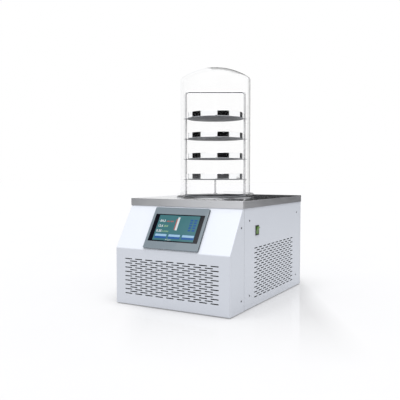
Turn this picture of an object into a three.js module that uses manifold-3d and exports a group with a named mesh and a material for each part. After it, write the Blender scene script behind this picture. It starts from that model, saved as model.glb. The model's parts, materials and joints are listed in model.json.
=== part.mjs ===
// Benchtop freeze dryer: a refrigerated cold trap in a folded sheet-steel case, with a bell jar and a
// rack of round trays standing on its stainless deck. Units are millimetres and +Z is up.
// Inside the cabinet group, X = 0 is the middle of the case, Y = 0 is its front face and Z = 0 the
// bench. The exported group moves the cabinet so that the origin is under the middle of the whole.

import * as THREE from 'three';
import { mergeGeometries, mergeVertices } from 'three/addons/utils/BufferGeometryUtils.js';
import Module from 'manifold-3d';

const wasm = await Module();
wasm.setup();

// ---- Driving dimensions ------------------------------------------------------------------------

// Clearances
const GAP = 0.3; // between pieces that rest on or fit in each other
const SLIP = 0.6; // round a part that has to move or be lifted out
const FAN_CLEARANCE = 6; // from the fan's tips to the shroud

// Case
const CASE_WIDTH = 450;
const CASE_DEPTH = 650;
const CASE_LIFT = 3; // bench to the panels' lower edges
const DECK_TOP = 370.3; // bench to the deck
const SHEET = 1.5;
const FLANGE = 12; // turned-in edges of the panels
const FOLD_HEIGHT = 199; // bench to the fold between the upright and the slanted front
const SLANT_RUN = 93.7; // how far the slanted front leans back
const FRONT_RETURN = 105; // depth of the front cover's side returns
const LIP_DEPTH = 26; // the deck's turned-down edge
const LIP_OVERHANG = 2.1;

// Staggered slots: full rows alternate with rows that hold one slot fewer
const SLOT_HEIGHT = 3.6;
const FRONT_SLOT_LENGTH = 30;
const FRONT_SLOTS = 9;
const FRONT_ROWS = 17;
const FRONT_VENT_SIDE = 39.5; // case side to the first slot
const FRONT_VENT_BELOW = 38.6; // lower edge of the cover to the bottom row
const FRONT_VENT_ABOVE = 36; // top row to the fold
const SIDE_SLOT_LENGTH = 26.4;
const SIDE_SLOTS = 10;
const SIDE_ROWS = 21;
const SIDE_VENT_FRONT = 82; // seam to the first slot
const SIDE_VENT_REAR = 92; // last slot to the rear of the case
const SIDE_VENT_BELOW = 31.5;
const SIDE_VENT_ABOVE = 166.3; // deck to the top row

// Base pan and feet
const PAN_HEIGHT = 12; // bench to the pan's underside
const PAN_WALL = 25;
const FOOT_RADIUS = 18;
const FOOT_CHAMFER = 3;
const FOOT_INSET = 45; // foot centre from the case's faces

// Chamber: the upright axis that the trap, the bell and the rack share
const CHAMBER_DEPTH = 321.5; // front of the case to the axis
const TRAP_BORE = 105;
const TRAP_WALL = 1.5;
const TRAP_DEPTH = 190;
const RIM_RISE = 6.5; // trap's rim above the deck
const SEAL_FLANGE_RADIUS = 148;
const SEAL_FLANGE_THICKNESS = 2.5;
const GASKET_THICKNESS = 2;
const GASKET_WIDTH = 16;
const GASKET_INSET = 1; // inside the bell's flange

// Bell jar
const BELL_RADIUS = 132;
const BELL_WALL = 9;
const BELL_HEIGHT = 482;
const BELL_FLANGE_RADIUS = 146;
const BELL_FLANGE_THICKNESS = 10;
const BELL_CROWN_RADIUS = 235; // outside, as the next one
const BELL_KNUCKLE_ADDED = 3; // knuckle radius inside the wall

// Tray rack
const RACK_TURN = 30; // degrees, the posts' line from the case's X
const POST_RADIUS = 4;
const POST_SPREAD = 112; // chamber axis to each post
const FRAME_HEIGHT = 389; // base bar to the centre line of the top rail
const FRAME_BEND = 12;
const BASE_RING_CLEARANCE = 1.5; // ring's bore round the trap's rim
const BASE_RING_WIDTH = 9;
const BASE_RING_HEIGHT = 4.6;
const BASE_BAR_WIDTH = 16;
const BASE_BAR_THICKNESS = 3;
const SHELF_COUNT = 4;
const SHELF_THICKNESS = 1.5;
const SHELF_PITCH = 76.6;
const SHELF_LIFT = 56.1; // rack's foot to the lowest shelf's underside
const SHELF_EAR = 3.5; // metal round the post's hole
const STOP_HEIGHT = 5;
const STOP_WIDTH = 6;
const TRAY_RADIUS = 104;
const TRAY_HEIGHT = 21;
const TRAY_WALL = 1.2;
const CENTRE_ROD_RADIUS = 3.5;
const FOOT_NUT_RADIUS = 7;
const FOOT_NUT_HEIGHT = 5;

// Evaporator coil and foam jacket
const COIL_TUBE = 4.75; // radius
const COIL_TURNS = 3;
const COIL_PITCH = 42;
const COIL_STEPS = 8; // per turn
const COIL_LIFT = 20.7; // trap's underside to the lowest turn
const COIL_EXIT = 50; // degrees, where the top tail leaves the jacket
const DRAIN_BORE = 3; // radius of the hole in the trap's floor
const JACKET_RADIUS = 150;
const JACKET_FLOOR = 40;
const TAIL_REACH = 12; // tails beyond the jacket

// Vacuum line, valves and rear connections
const PIPE_BORE = 12;
const PIPE_WALL = 2;
const PIPE_BELOW_DECK = 45.3; // deck to the pipe's axis
const PORT_FLANGE_RADIUS = 20;
const PORT_FLANGE_THICKNESS = 3;
const PORT_REACH = 38; // port beyond the rear panel
const SENSOR_RADIUS = 15;
const SENSOR_HEIGHT = 52;
const SENSOR_NECK_RADIUS = 6;
const SENSOR_NECK_HEIGHT = 8;
const SENSOR_INSET = 90; // from the rear of the case
const HOSE_RADIUS = 4;
const HOSE_BEND = 10;
const AIR_VALVE_X = -50;
const DRAIN_X = -110;
const DRAIN_HEIGHT = 60;
const DRAIN_RUN_DROP = 25; // jacket's underside to the drain pipe's run
const DRAIN_DROP = 70; // rear of the case to where the pipe drops to its valve
const VALVE_RADIUS = 9;
const VALVE_REACH = 28; // spout beyond the rear panel
const VALVE_LENGTH = 20; // its hexagon
const VALVE_BARB = 15; // barb in front of the rear panel
const STEM_RADIUS = 3;
const LEVER_HUB_RADIUS = 5.5;
const LEVER_LENGTH = 26;
const LEVER_WIDTH = 8;
const LEVER_THICKNESS = 3;
const SOCKET_BELOW_DECK = 120.3; // deck to the middle of the sockets
const INLET_ASIDE = 105; // from the case's right side, as the next two
const OUTLET_ASIDE = 175;
const FUSE_ASIDE = 50;
const SOCKET_WIDTH = 27;
const SOCKET_TALL = 20;
const SOCKET_WALL = 1.5;
const SOCKET_REACH = 26; // body behind the rear panel
const SOCKET_FLOOR = 8; // behind the recess and the slots
const SOCKET_RIM = 3;
const CONTACT_PITCH = 7;
const CONTACT_TALL = 4;
const CONTACT_WIDTH = 2;
const EARTH_RISE = 5; // middle contact above the outer two
const FUSE_RADIUS = 7;
const FUSE_CAP = 9; // cap beyond the rear panel

// Refrigeration set
const COMPRESSOR_ASIDE = 130; // from the case's right side to its axis
const COMPRESSOR_INSET = 90; // from the rear of the case
const COMPRESSOR_RADIUS = 72;
const COMPRESSOR_HEIGHT = 172;
const COMPRESSOR_SEAM = 3; // step from the lower half-shell to the upper
const PORT_OFFSET = 15; // compressor's axis to each of its ports
const PLATE_WIDTH = 180;
const PLATE_DEPTH = 130;
const PLATE_THICKNESS = 3;
const MOUNT_RADIUS = 12;
const MOUNT_HEIGHT = 18;
const MOUNT_INSET = 14;
const CONDENSER_WIDTH = 300;
const CONDENSER_DEPTH = 44;
const CONDENSER_HEIGHT = 150;
const CONDENSER_INSET = 18; // from the front of the case
const HEADER = 2; // half the thickness of the condenser's end plates
const FIN_DEPTH = 4;
const FIN_SPACES = 9;
const FAN_RADIUS = 68;
const FAN_HUB_RADIUS = 20;
const FAN_HUB_DEPTH = 18;
const FAN_BLADES = 5;
const BLADE_ROOT = 10; // half the blade's width at the hub
const BLADE_TIP = 18; // and at the tip
const BLADE_PITCH = 32; // degrees
const BLADE_THICKNESS = 2;
const SHROUD_DEPTH = 26;
const MOTOR_RADIUS = 32;
const MOTOR_DEPTH = 42;
const SPIDER_WIDTH = 10;
const SPIDER_THICKNESS = 3;
const SHAFT_RADIUS = 3;
const LINE_RADIUS = 3;
const LINE_BEND = 8;
const LINE_WALL = 1;
const SUCTION_RUN = 20; // coil's tail to the suction line's first bend
const DISCHARGE_RISE = 23; // compressor's top to the discharge line's run
const DISCHARGE_INSET = 25; // the same run from the case's side
const CAPILLARY_RADIUS = 1.8;
const DRIER_RADIUS = 10;
const DRIER_LENGTH = 90;
const DRIER_ASIDE = 28; // condenser's end to the drier's axis
const DRIER_BEHIND = 59; // condenser's rear to the drier's front
const LIQUID_HEIGHT = 50;

// Touch screen
const BEZEL_WIDTH = 218;
const BEZEL_HEIGHT = 160;
const BEZEL_THICKNESS = 7;
const BEZEL_CORNER = 3;
const BEZEL_CHAMFER = 1;
const BEZEL_CENTRE = 85; // up the slope from the fold
const GLASS_WIDTH = 196;
const GLASS_HEIGHT = 105;
const GLASS_THICKNESS = 2;
const GLASS_RECESS = 0.5;
const HOUSING_WIDTH = 206;
const HOUSING_HEIGHT = 125;
const HOUSING_DEPTH = 30;

// Power switch
const SWITCH_DEPTH = 208; // front of the case to the switch's middle
const SWITCH_BELOW_DECK = 105.8; // deck to the switch's middle
const SWITCH_WIDTH = 27;
const SWITCH_TALL = 34;
const SWITCH_RIM = 2;
const SWITCH_WALL = 1.7;
const SWITCH_BODY = 24; // behind the panel
const ROCKER_RADIUS = 13.5;
const ROCKER_PIN = 1.5;
const ROCKER_TILT = 12; // degrees each side of level
const ROCKER_FACE = 30; // degrees from level to the face's edges
const ROCKER_BACK = 25; // degrees from level to the back's edges
const ROCKER_DISH = 2.8; // depth of the dished face

// Electronics
const SUPPLY_WIDTH = 42;
const SUPPLY_LENGTH = 159;
const SUPPLY_HEIGHT = 98;
const SUPPLY_INSET = 20; // from the rear panel
const BOARD_LENGTH = 150;
const BOARD_HEIGHT = 100;
const BOARD_THICKNESS = 1.6;
const BOARD_BELOW_DECK = 110.3; // deck to its middle
const STANDOFF = 11;
const STANDOFF_WIDTH = 6;
const HEATSINK = 20; // tallest part on the board
const TERMINAL = 12;
const RELAY = 15;

// Facets
const ROUND = 24; // trap, bell and rack
const TURNED = 10; // compressor, fan and jacket
const SMALL = 8; // pipes, valves and feet
const POST_FACETS = 8;
const WIRE = 6; // tubes
const HEXAGON = 6; // valve bodies

// ---- Sizes worked out from them ----------------------------------------------------------------

const HALF_WIDTH = CASE_WIDTH / 2;
const DECK_UNDERSIDE = DECK_TOP - SHEET;
const PANEL_TOP = DECK_UNDERSIDE - GAP;
const SLANT_TOP = DECK_TOP - LIP_DEPTH;
const SLANT_RISE = SLANT_TOP - FOLD_HEIGHT;
const SLANT_ANGLE = Math.atan2(SLANT_RISE, SLANT_RUN);
const PAN_FLOOR = PAN_HEIGHT + SHEET;
const REAR_INSIDE = CASE_DEPTH - SHEET;

const TRAP_RADIUS = TRAP_BORE + TRAP_WALL;
const TRAP_RIM = DECK_TOP + RIM_RISE;
const TRAP_BOTTOM = TRAP_RIM - TRAP_DEPTH - TRAP_WALL;
const SEAL_TOP = DECK_TOP + GAP + SEAL_FLANGE_THICKNESS;
const GASKET_TOP = SEAL_TOP + GAP + GASKET_THICKNESS;
const BELL_FOOT = GASKET_TOP + GAP;

const BASE_RING_BORE = TRAP_RADIUS + BASE_RING_CLEARANCE;
const BASE_RING_RADIUS = BASE_RING_BORE + BASE_RING_WIDTH;
const BASE_RING_FOOT = SEAL_TOP + GAP;
const BASE_BAR_BOTTOM = Math.max(BASE_RING_FOOT + BASE_RING_HEIGHT - SLIP, TRAP_RIM + GAP);
const BASE_BAR_TOP = BASE_BAR_BOTTOM + BASE_BAR_THICKNESS;
const RACK_FOOT = BASE_BAR_TOP + GAP;
const LOWEST_SHELF = RACK_FOOT + SHELF_LIFT;
const SHELF_RADIUS = POST_SPREAD - POST_RADIUS - GAP;

const COIL_RADIUS = (TRAP_RADIUS + GAP + COIL_TUBE) / Math.cos(Math.PI / COIL_STEPS);
const JACKET_BORE = (COIL_RADIUS + COIL_TUBE + GAP) / Math.cos(Math.PI / TURNED);
const JACKET_BOTTOM = TRAP_BOTTOM - GAP - JACKET_FLOOR;
const COIL_BOTTOM = TRAP_BOTTOM + COIL_LIFT;
const COIL_TOP = COIL_BOTTOM + COIL_TURNS * COIL_PITCH;
const DRAIN_RUN_HEIGHT = JACKET_BOTTOM - DRAIN_RUN_DROP;

const PIPE_RADIUS = PIPE_BORE + PIPE_WALL;
const PIPE_HEIGHT = DECK_TOP - PIPE_BELOW_DECK;
const SOCKET_HEIGHT = DECK_TOP - SOCKET_BELOW_DECK;
const INLET_X = HALF_WIDTH - INLET_ASIDE;
const OUTLET_X = HALF_WIDTH - OUTLET_ASIDE;
const FUSE_X = HALF_WIDTH - FUSE_ASIDE;
const PIPE_START = CHAMBER_DEPTH + TRAP_RADIUS + GAP;
const COMPRESSOR_X = HALF_WIDTH - COMPRESSOR_ASIDE;
const COMPRESSOR_Y = CASE_DEPTH - COMPRESSOR_INSET;
const COMPRESSOR_BASE = PAN_FLOOR + GAP + MOUNT_HEIGHT + GAP;
const COMPRESSOR_TOP = COMPRESSOR_BASE + COMPRESSOR_HEIGHT;
const CONDENSER_FOOT = PAN_FLOOR + GAP;
const CONDENSER_REAR = CONDENSER_INSET + CONDENSER_DEPTH;
const SHROUD_FRONT = CONDENSER_REAR + GAP;
const SHROUD_REAR = SHROUD_FRONT + SHROUD_DEPTH;
const SHROUD_BORE = FAN_RADIUS + FAN_CLEARANCE;
const FAN_HEIGHT = CONDENSER_FOOT + CONDENSER_HEIGHT / 2;
const FAN_Y = SHROUD_REAR - FAN_HUB_DEPTH / 2;
const SPIDER_FRONT = SHROUD_REAR + FAN_HUB_DEPTH / 2 + GAP;

const DISCHARGE_HEIGHT = COMPRESSOR_TOP + DISCHARGE_RISE;
const DISCHARGE_X = HALF_WIDTH - DISCHARGE_INSET;
const HEADER_OUTSIDE = CONDENSER_WIDTH / 2 + HEADER;
const DRIER_X = HEADER_OUTSIDE + DRIER_ASIDE;
const DRIER_FRONT = CONDENSER_REAR + DRIER_BEHIND;

const SWITCH_HEIGHT = DECK_TOP - SWITCH_BELOW_DECK;
const BOARD_MIDDLE = DECK_TOP - BOARD_BELOW_DECK;

const FRAME_Y = -(CASE_DEPTH + PORT_REACH) / 2;

// ---- Materials ---------------------------------------------------------------------------------

const finish = (colour, roughness, metalness) =>
  new THREE.MeshStandardMaterial({ color: colour, roughness, metalness });

const whitePaint = finish('#d3d7dc', 0.45, 0);
const stainless = finish('#b9bcbf', 0.2, 1);
const galvanised = finish('#a9adb0', 0.4, 1);
const blackSteel = finish('#1c1d1f', 0.45, 0.3);
const rubber = finish('#1a1a1b', 0.8, 0);
const acrylic = finish('#eef3f5', 0.05, 0);
acrylic.transparent = true;
acrylic.opacity = 0.25;
const foam = finish('#8e9093', 0.9, 0);
const copper = finish('#b8744a', 0.3, 1);
const aluminium = finish('#9da1a4', 0.35, 1);
const greyPlastic = finish('#93a1a6', 0.45, 0);
const blackPlastic = finish('#141416', 0.4, 0);
const screenGlass = finish('#10131c', 0.1, 0);
const greenPlastic = finish('#3f8f3a', 0.3, 0);
const boardGreen = finish('#1f5a34', 0.5, 0);
const brass = finish('#b59a52', 0.3, 1);
const silicone = finish('#d8d4c8', 0.6, 0);

// ---- Booleans ----------------------------------------------------------------------------------

function solidOf(geometry) {
  const bare = geometry.clone();
  bare.deleteAttribute('normal');
  bare.deleteAttribute('uv');
  const merged = mergeVertices(bare);
  const corners = merged.index.array;
  const kept = [];
  for (let i = 0; i < corners.length; i += 3) {
    const [a, b, c] = corners.slice(i, i + 3);
    if (a !== b && b !== c && c !== a) {
      kept.push(a, b, c);
    }
  }
  return new wasm.Manifold(new wasm.Mesh({
    numProp: 3,
    vertProperties: new Float32Array(merged.attributes.position.array),
    triVerts: new Uint32Array(kept),
  }));
}

function geometryOf(solid) {
  const mesh = solid.getMesh();
  const geometry = new THREE.BufferGeometry();
  geometry.setAttribute('position', new THREE.BufferAttribute(mesh.vertProperties, 3));
  geometry.setIndex(new THREE.BufferAttribute(mesh.triVerts, 1));
  geometry.computeVertexNormals();
  return geometry;
}

function cut(geometry, ...cutters) {
  return geometryOf(cutters.reduce((solid, cutter) => solid.subtract(solidOf(cutter)), solidOf(geometry)));
}

function join(geometry, ...others) {
  return geometryOf(others.reduce((solid, other) => solid.add(solidOf(other)), solidOf(geometry)));
}

// ---- Shapes ------------------------------------------------------------------------------------

// A block from its low corner to its high corner.
function block([x0, y0, z0], [x1, y1, z1]) {
  const geometry = new THREE.BoxGeometry(x1 - x0, y1 - y0, z1 - z0);
  return geometry.translate((x0 + x1) / 2, (y0 + y1) / 2, (z0 + z1) / 2);
}

// A block by its size, centred on a point.
function centredBlock(width, depth, height, x = 0, y = 0, z = 0) {
  return new THREE.BoxGeometry(width, depth, height).translate(x, y, z);
}

// A solid of revolution about Z. The profile runs [radius, height] from the bottom to the top.
function turned(profile, facets) {
  const points = profile.map(([radius, height]) => new THREE.Vector2(radius, height));
  return new THREE.LatheGeometry(points, facets).rotateX(Math.PI / 2);
}

// The same about Y: heights become distances from the front.
function turnedAlongY(profile, facets) {
  return turned(profile, facets).rotateX(-Math.PI / 2);
}

// A ring of revolution: the profile closes on itself, off the axis.
function ring(inner, outer, bottom, top, facets) {
  return turned([[inner, bottom], [outer, bottom], [outer, top], [inner, top], [inner, bottom]], facets);
}

function disc(radius, bottom, top, facets) {
  return turned([[0, bottom], [radius, bottom], [radius, top], [0, top]], facets);
}

// Radius that keeps a faceted round hole or bend outside a true circle.
function outside(radius, facets) {
  return radius / Math.cos(Math.PI / facets);
}

// An outline drawn in Y and Z, extruded along X about the middle.
function acrossCase(outline, width) {
  const shape = new THREE.Shape(outline.map(([y, z]) => new THREE.Vector2(y, z)));
  const geometry = new THREE.ExtrudeGeometry(shape, { depth: width, bevelEnabled: false });
  geometry.translate(0, 0, -width / 2);
  const turn = new THREE.Matrix4().makeBasis(
    new THREE.Vector3(0, 1, 0),
    new THREE.Vector3(0, 0, 1),
    new THREE.Vector3(1, 0, 0),
  );
  return geometry.applyMatrix4(turn);
}

// A rectangle with round corners, about the origin.
function roundedRectangle(width, height, radius) {
  const target = new THREE.Shape();
  const x = width / 2;
  const y = height / 2;
  target.moveTo(-x + radius, -y);
  target.lineTo(x - radius, -y);
  target.absarc(x - radius, -y + radius, radius, -Math.PI / 2, 0, false);
  target.lineTo(x, y - radius);
  target.absarc(x - radius, y - radius, radius, 0, Math.PI / 2, false);
  target.lineTo(-x + radius, y);
  target.absarc(-x + radius, y - radius, radius, Math.PI / 2, Math.PI, false);
  target.lineTo(-x, -y + radius);
  target.absarc(-x + radius, -y + radius, radius, Math.PI, Math.PI * 1.5, false);
  return target;
}

// A path through given stations, one step of the sweep from each to the next.
class StationPath extends THREE.Curve {
  constructor(stations) {
    super();
    this.stations = stations;
  }

  getPoint(t, target = new THREE.Vector3()) {
    const place = t * (this.stations.length - 1);
    const index = Math.min(Math.floor(place), this.stations.length - 2);
    return target.lerpVectors(this.stations[index], this.stations[index + 1], place - index);
  }

  getUtoTmapping(u) {
    return u;
  }
}

// Stations along straight runs whose corners are rounded by a bend radius.
function bentStations(corners, bend, steps = 3) {
  const points = corners.map((corner) => new THREE.Vector3(...corner));
  const stations = [points[0]];
  for (let i = 1; i < points.length - 1; i++) {
    const before = points[i - 1].clone().sub(points[i]).normalize();
    const after = points[i + 1].clone().sub(points[i]).normalize();
    const half = before.angleTo(after) / 2;
    const reach = bend / Math.tan(half);
    const centre = before.clone().add(after).normalize().multiplyScalar(bend / Math.sin(half)).add(points[i]);
    const start = points[i].clone().addScaledVector(before, reach).sub(centre);
    const end = points[i].clone().addScaledVector(after, reach).sub(centre);
    const axis = start.clone().cross(end).normalize();
    const sweep = start.angleTo(end);
    for (let step = 0; step <= steps; step++) {
      stations.push(start.clone().applyAxisAngle(axis, (sweep * step) / steps).add(centre));
    }
  }
  stations.push(points[points.length - 1]);
  return stations;
}

// A round rod along stations.
function sweptRod(stations, radius, facets = WIRE) {
  const section = new THREE.Shape();
  for (let i = 0; i < facets; i++) {
    const angle = (i / facets) * Math.PI * 2;
    const point = [radius * Math.cos(angle), radius * Math.sin(angle)];
    if (i === 0) {
      section.moveTo(...point);
    } else {
      section.lineTo(...point);
    }
  }
  return new THREE.ExtrudeGeometry(section, {
    steps: stations.length - 1,
    bevelEnabled: false,
    extrudePath: new StationPath(stations),
  });
}

// Places of staggered slots about the middle of their field, as [along, up].
function staggered(perRow, rows, pitch, rise) {
  const places = [];
  for (let row = 0; row < rows; row++) {
    const count = perRow - (row % 2);
    for (let i = 0; i < count; i++) {
      places.push([(i - (count - 1) / 2) * pitch, (row - (rows - 1) / 2) * rise]);
    }
  }
  return places;
}

// ---- The assembly ------------------------------------------------------------------------------

const dryer = new THREE.Group();
const cabinet = new THREE.Group();
cabinet.position.y = FRAME_Y;
dryer.add(cabinet);

function place(name, geometry, material, parent = cabinet, position = [0, 0, 0]) {
  const mesh = new THREE.Mesh(geometry, material);
  mesh.name = name;
  mesh.position.set(...position);
  parent.add(mesh);
  return mesh;
}

// ---- Case --------------------------------------------------------------------------------------

// Line from the fold up the slanted front, moved inward by the sheet.
function slantLine(inset, depth) {
  const along = (depth - (SLANT_RISE / Math.hypot(SLANT_RUN, SLANT_RISE)) * inset) / SLANT_RUN;
  return FOLD_HEIGHT - (SLANT_RUN / Math.hypot(SLANT_RUN, SLANT_RISE)) * inset + along * SLANT_RISE;
}

function frontVentCutters() {
  const width = CASE_WIDTH - 2 * FRONT_VENT_SIDE - FRONT_SLOT_LENGTH;
  const bottom = CASE_LIFT + FRONT_VENT_BELOW;
  const top = FOLD_HEIGHT - FRONT_VENT_ABOVE;
  const pitch = width / (FRONT_SLOTS - 1);
  const rise = (top - bottom) / (FRONT_ROWS - 1);
  const middle = (top + bottom) / 2;
  const slots = staggered(FRONT_SLOTS, FRONT_ROWS, pitch, rise).map(([x, z]) =>
    centredBlock(FRONT_SLOT_LENGTH, SHEET * 4, SLOT_HEIGHT, x, 0, middle + z));
  return mergeGeometries(slots);
}

function frontCover() {
  const outline = [
    [0, CASE_LIFT],
    [FRONT_RETURN, CASE_LIFT],
    [FRONT_RETURN, PANEL_TOP],
    [SLANT_RUN, PANEL_TOP],
    [SLANT_RUN, SLANT_TOP],
    [0, FOLD_HEIGHT],
  ];
  const past = FRONT_RETURN + FLANGE;
  const hollow = [
    [SHEET, CASE_LIFT + SHEET],
    [FLANGE, CASE_LIFT + SHEET],
    [FLANGE, 0],
    [past, 0],
    [past, PANEL_TOP - SHEET],
    [SLANT_RUN + SHEET, PANEL_TOP - SHEET],
    [SLANT_RUN + SHEET, slantLine(SHEET, SLANT_RUN + SHEET)],
    [SHEET, slantLine(SHEET, SHEET)],
  ];
  const [openWidth, openHeight] = [GLASS_WIDTH + 2 * GAP, GLASS_HEIGHT + 2 * GAP];
  const screenHole = centredBlock(openWidth, openHeight, SHEET * 6, 0, BEZEL_CENTRE, 0);
  screenHole.rotateX(SLANT_ANGLE).translate(0, 0, FOLD_HEIGHT);
  return cut(
    acrossCase(outline, CASE_WIDTH),
    acrossCase(hollow, CASE_WIDTH - 2 * SHEET),
    frontVentCutters(),
    screenHole,
  );
}

// A flat panel with all four edges turned in, standing in the plane of one side of the case.
function sidePanel(side) {
  const front = FRONT_RETURN + GAP;
  const rear = REAR_INSIDE - GAP;
  const outer = block([-FLANGE / 2, front, CASE_LIFT], [FLANGE / 2, rear, PANEL_TOP]);
  const [floor, ceiling] = [CASE_LIFT + SHEET, PANEL_TOP - SHEET];
  const hollow = block([-FLANGE, front + SHEET, floor], [FLANGE, rear - SHEET, ceiling]);
  const shell = cut(outer, hollow.translate(-side * (FLANGE / 2 + SHEET), 0, 0));
  return shell.translate(side * (HALF_WIDTH - FLANGE / 2), 0, 0);
}

function sideVentCutters() {
  const first = FRONT_RETURN + SIDE_VENT_FRONT + SIDE_SLOT_LENGTH / 2;
  const last = CASE_DEPTH - SIDE_VENT_REAR - SIDE_SLOT_LENGTH / 2;
  const bottom = CASE_LIFT + SIDE_VENT_BELOW;
  const top = DECK_TOP - SIDE_VENT_ABOVE;
  const pitch = (last - first) / (SIDE_SLOTS - 1);
  const rise = (top - bottom) / (SIDE_ROWS - 1);
  const middle = [(first + last) / 2, (top + bottom) / 2];
  const slots = staggered(SIDE_SLOTS, SIDE_ROWS, pitch, rise).map(([y, z]) =>
    centredBlock(SHEET * 4, SIDE_SLOT_LENGTH, SLOT_HEIGHT, HALF_WIDTH, middle[0] + y, middle[1] + z));
  return mergeGeometries(slots);
}

function rightSidePanel() {
  const { bodyWidth, bodyTall } = switchSizes();
  const switchHole = centredBlock(
    SHEET * 4,
    bodyWidth + 2 * GAP,
    bodyTall + 2 * GAP,
    HALF_WIDTH,
    SWITCH_DEPTH,
    SWITCH_HEIGHT,
  );
  return cut(sidePanel(1), sideVentCutters(), switchHole);
}

// A round cutter along Y through the rear panel.
function rearBore(radius, x, z) {
  const length = SHEET * 6;
  const bore = new THREE.CylinderGeometry(outside(radius, SMALL), outside(radius, SMALL), length, SMALL);
  return bore.translate(x, CASE_DEPTH, z);
}

function rearPanel() {
  const socketHoles = [INLET_X, OUTLET_X].map((x) =>
    centredBlock(SOCKET_WIDTH + 2 * GAP, SHEET * 6, SOCKET_TALL + 2 * GAP, x, CASE_DEPTH, SOCKET_HEIGHT));
  return cut(
    block([-HALF_WIDTH, REAR_INSIDE, CASE_LIFT], [HALF_WIDTH, CASE_DEPTH, PANEL_TOP]),
    rearBore(PIPE_RADIUS + GAP, 0, PIPE_HEIGHT),
    rearBore(HOSE_RADIUS + GAP, AIR_VALVE_X, PIPE_HEIGHT),
    rearBore(HOSE_RADIUS + GAP, DRAIN_X, DRAIN_HEIGHT),
    rearBore(FUSE_RADIUS + GAP, FUSE_X, SOCKET_HEIGHT),
    ...socketHoles,
  );
}

function topPlate() {
  const x = HALF_WIDTH + LIP_OVERHANG;
  const front = SLANT_RUN - LIP_OVERHANG;
  const rear = CASE_DEPTH + LIP_OVERHANG;
  const mouth = disc(TRAP_RADIUS + SLIP, 0, DECK_TOP * 2, ROUND);
  return cut(
    block([-x, front, SLANT_TOP], [x, rear, DECK_TOP]),
    block([SHEET - x, front + SHEET, 0], [x - SHEET, rear - SHEET, DECK_UNDERSIDE]),
    mouth.translate(0, CHAMBER_DEPTH, 0),
  );
}

function basePan() {
  const x = HALF_WIDTH - FLANGE - GAP;
  const front = SHEET + GAP;
  const rear = REAR_INSIDE - GAP;
  const top = PAN_HEIGHT + PAN_WALL;
  return cut(
    block([-x, front, PAN_HEIGHT], [x, rear, top]),
    block([SHEET - x, front + SHEET, PAN_FLOOR], [x - SHEET, rear - SHEET, top + PAN_WALL]),
  );
}

function foot() {
  const height = PAN_HEIGHT - GAP;
  return turned([
    [0, 0],
    [FOOT_RADIUS - FOOT_CHAMFER, 0],
    [FOOT_RADIUS, FOOT_CHAMFER],
    [FOOT_RADIUS, height],
    [0, height],
  ], SMALL);
}

place('base_pan', basePan(), galvanised);
for (const [end, y] of [['front', FOOT_INSET], ['rear', CASE_DEPTH - FOOT_INSET]]) {
  for (const [side, x] of [['left', FOOT_INSET - HALF_WIDTH], ['right', HALF_WIDTH - FOOT_INSET]]) {
    place(`foot_${end}_${side}`, foot(), rubber, cabinet, [x, y, 0]);
  }
}
place('front_cover', frontCover(), whitePaint);
place('side_panel_right', rightSidePanel(), whitePaint);
place('side_panel_left', sidePanel(-1), whitePaint);
place('rear_panel', rearPanel(), whitePaint);
place('top_plate', topPlate(), stainless);

// ---- Cold trap ---------------------------------------------------------------------------------

const chamber = new THREE.Group();
chamber.position.set(0, CHAMBER_DEPTH, 0);
cabinet.add(chamber);

// The well, with its rim standing above the deck, a pipe hole in its wall and a drain in its floor.
function coldTrap() {
  const floor = TRAP_BOTTOM + TRAP_WALL;
  const well = turned([
    [0, TRAP_BOTTOM],
    [TRAP_RADIUS, TRAP_BOTTOM],
    [TRAP_RADIUS, TRAP_RIM],
    [TRAP_BORE, TRAP_RIM],
    [TRAP_BORE, floor],
    [0, floor],
  ], ROUND);
  const pipeHole = new THREE.CylinderGeometry(PIPE_BORE, PIPE_BORE, TRAP_RADIUS, SMALL);
  const drainHole = disc(DRAIN_BORE, TRAP_BOTTOM - TRAP_WALL, floor + TRAP_WALL, SMALL);
  return cut(well, pipeHole.translate(0, TRAP_RADIUS, PIPE_HEIGHT), drainHole);
}

// The flat flange welded round the well, which hangs it on the deck and carries the bell's seal.
function sealFlange() {
  return ring(TRAP_RADIUS + GAP, SEAL_FLANGE_RADIUS, DECK_TOP + GAP, SEAL_TOP, ROUND);
}

// Centre line of the coil: a tail up through the jacket's floor, the turns, a tail out at the side.
function coilStations() {
  const angleAt = (turn) => THREE.MathUtils.degToRad(COIL_EXIT) + (turn - COIL_TURNS) * Math.PI * 2;
  const pointAt = (radius, turn, z) =>
    new THREE.Vector3(radius * Math.cos(angleAt(turn)), radius * Math.sin(angleAt(turn)), z);
  const stations = [pointAt(COIL_RADIUS, 0, JACKET_BOTTOM - TAIL_REACH)];
  const steps = Math.round(COIL_TURNS * COIL_STEPS);
  for (let step = 0; step <= steps; step++) {
    const turn = (COIL_TURNS * step) / steps;
    stations.push(pointAt(COIL_RADIUS, turn, COIL_BOTTOM + turn * COIL_PITCH));
  }
  stations.push(pointAt(JACKET_RADIUS + TAIL_REACH, COIL_TURNS, COIL_TOP));
  return stations;
}

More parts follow.
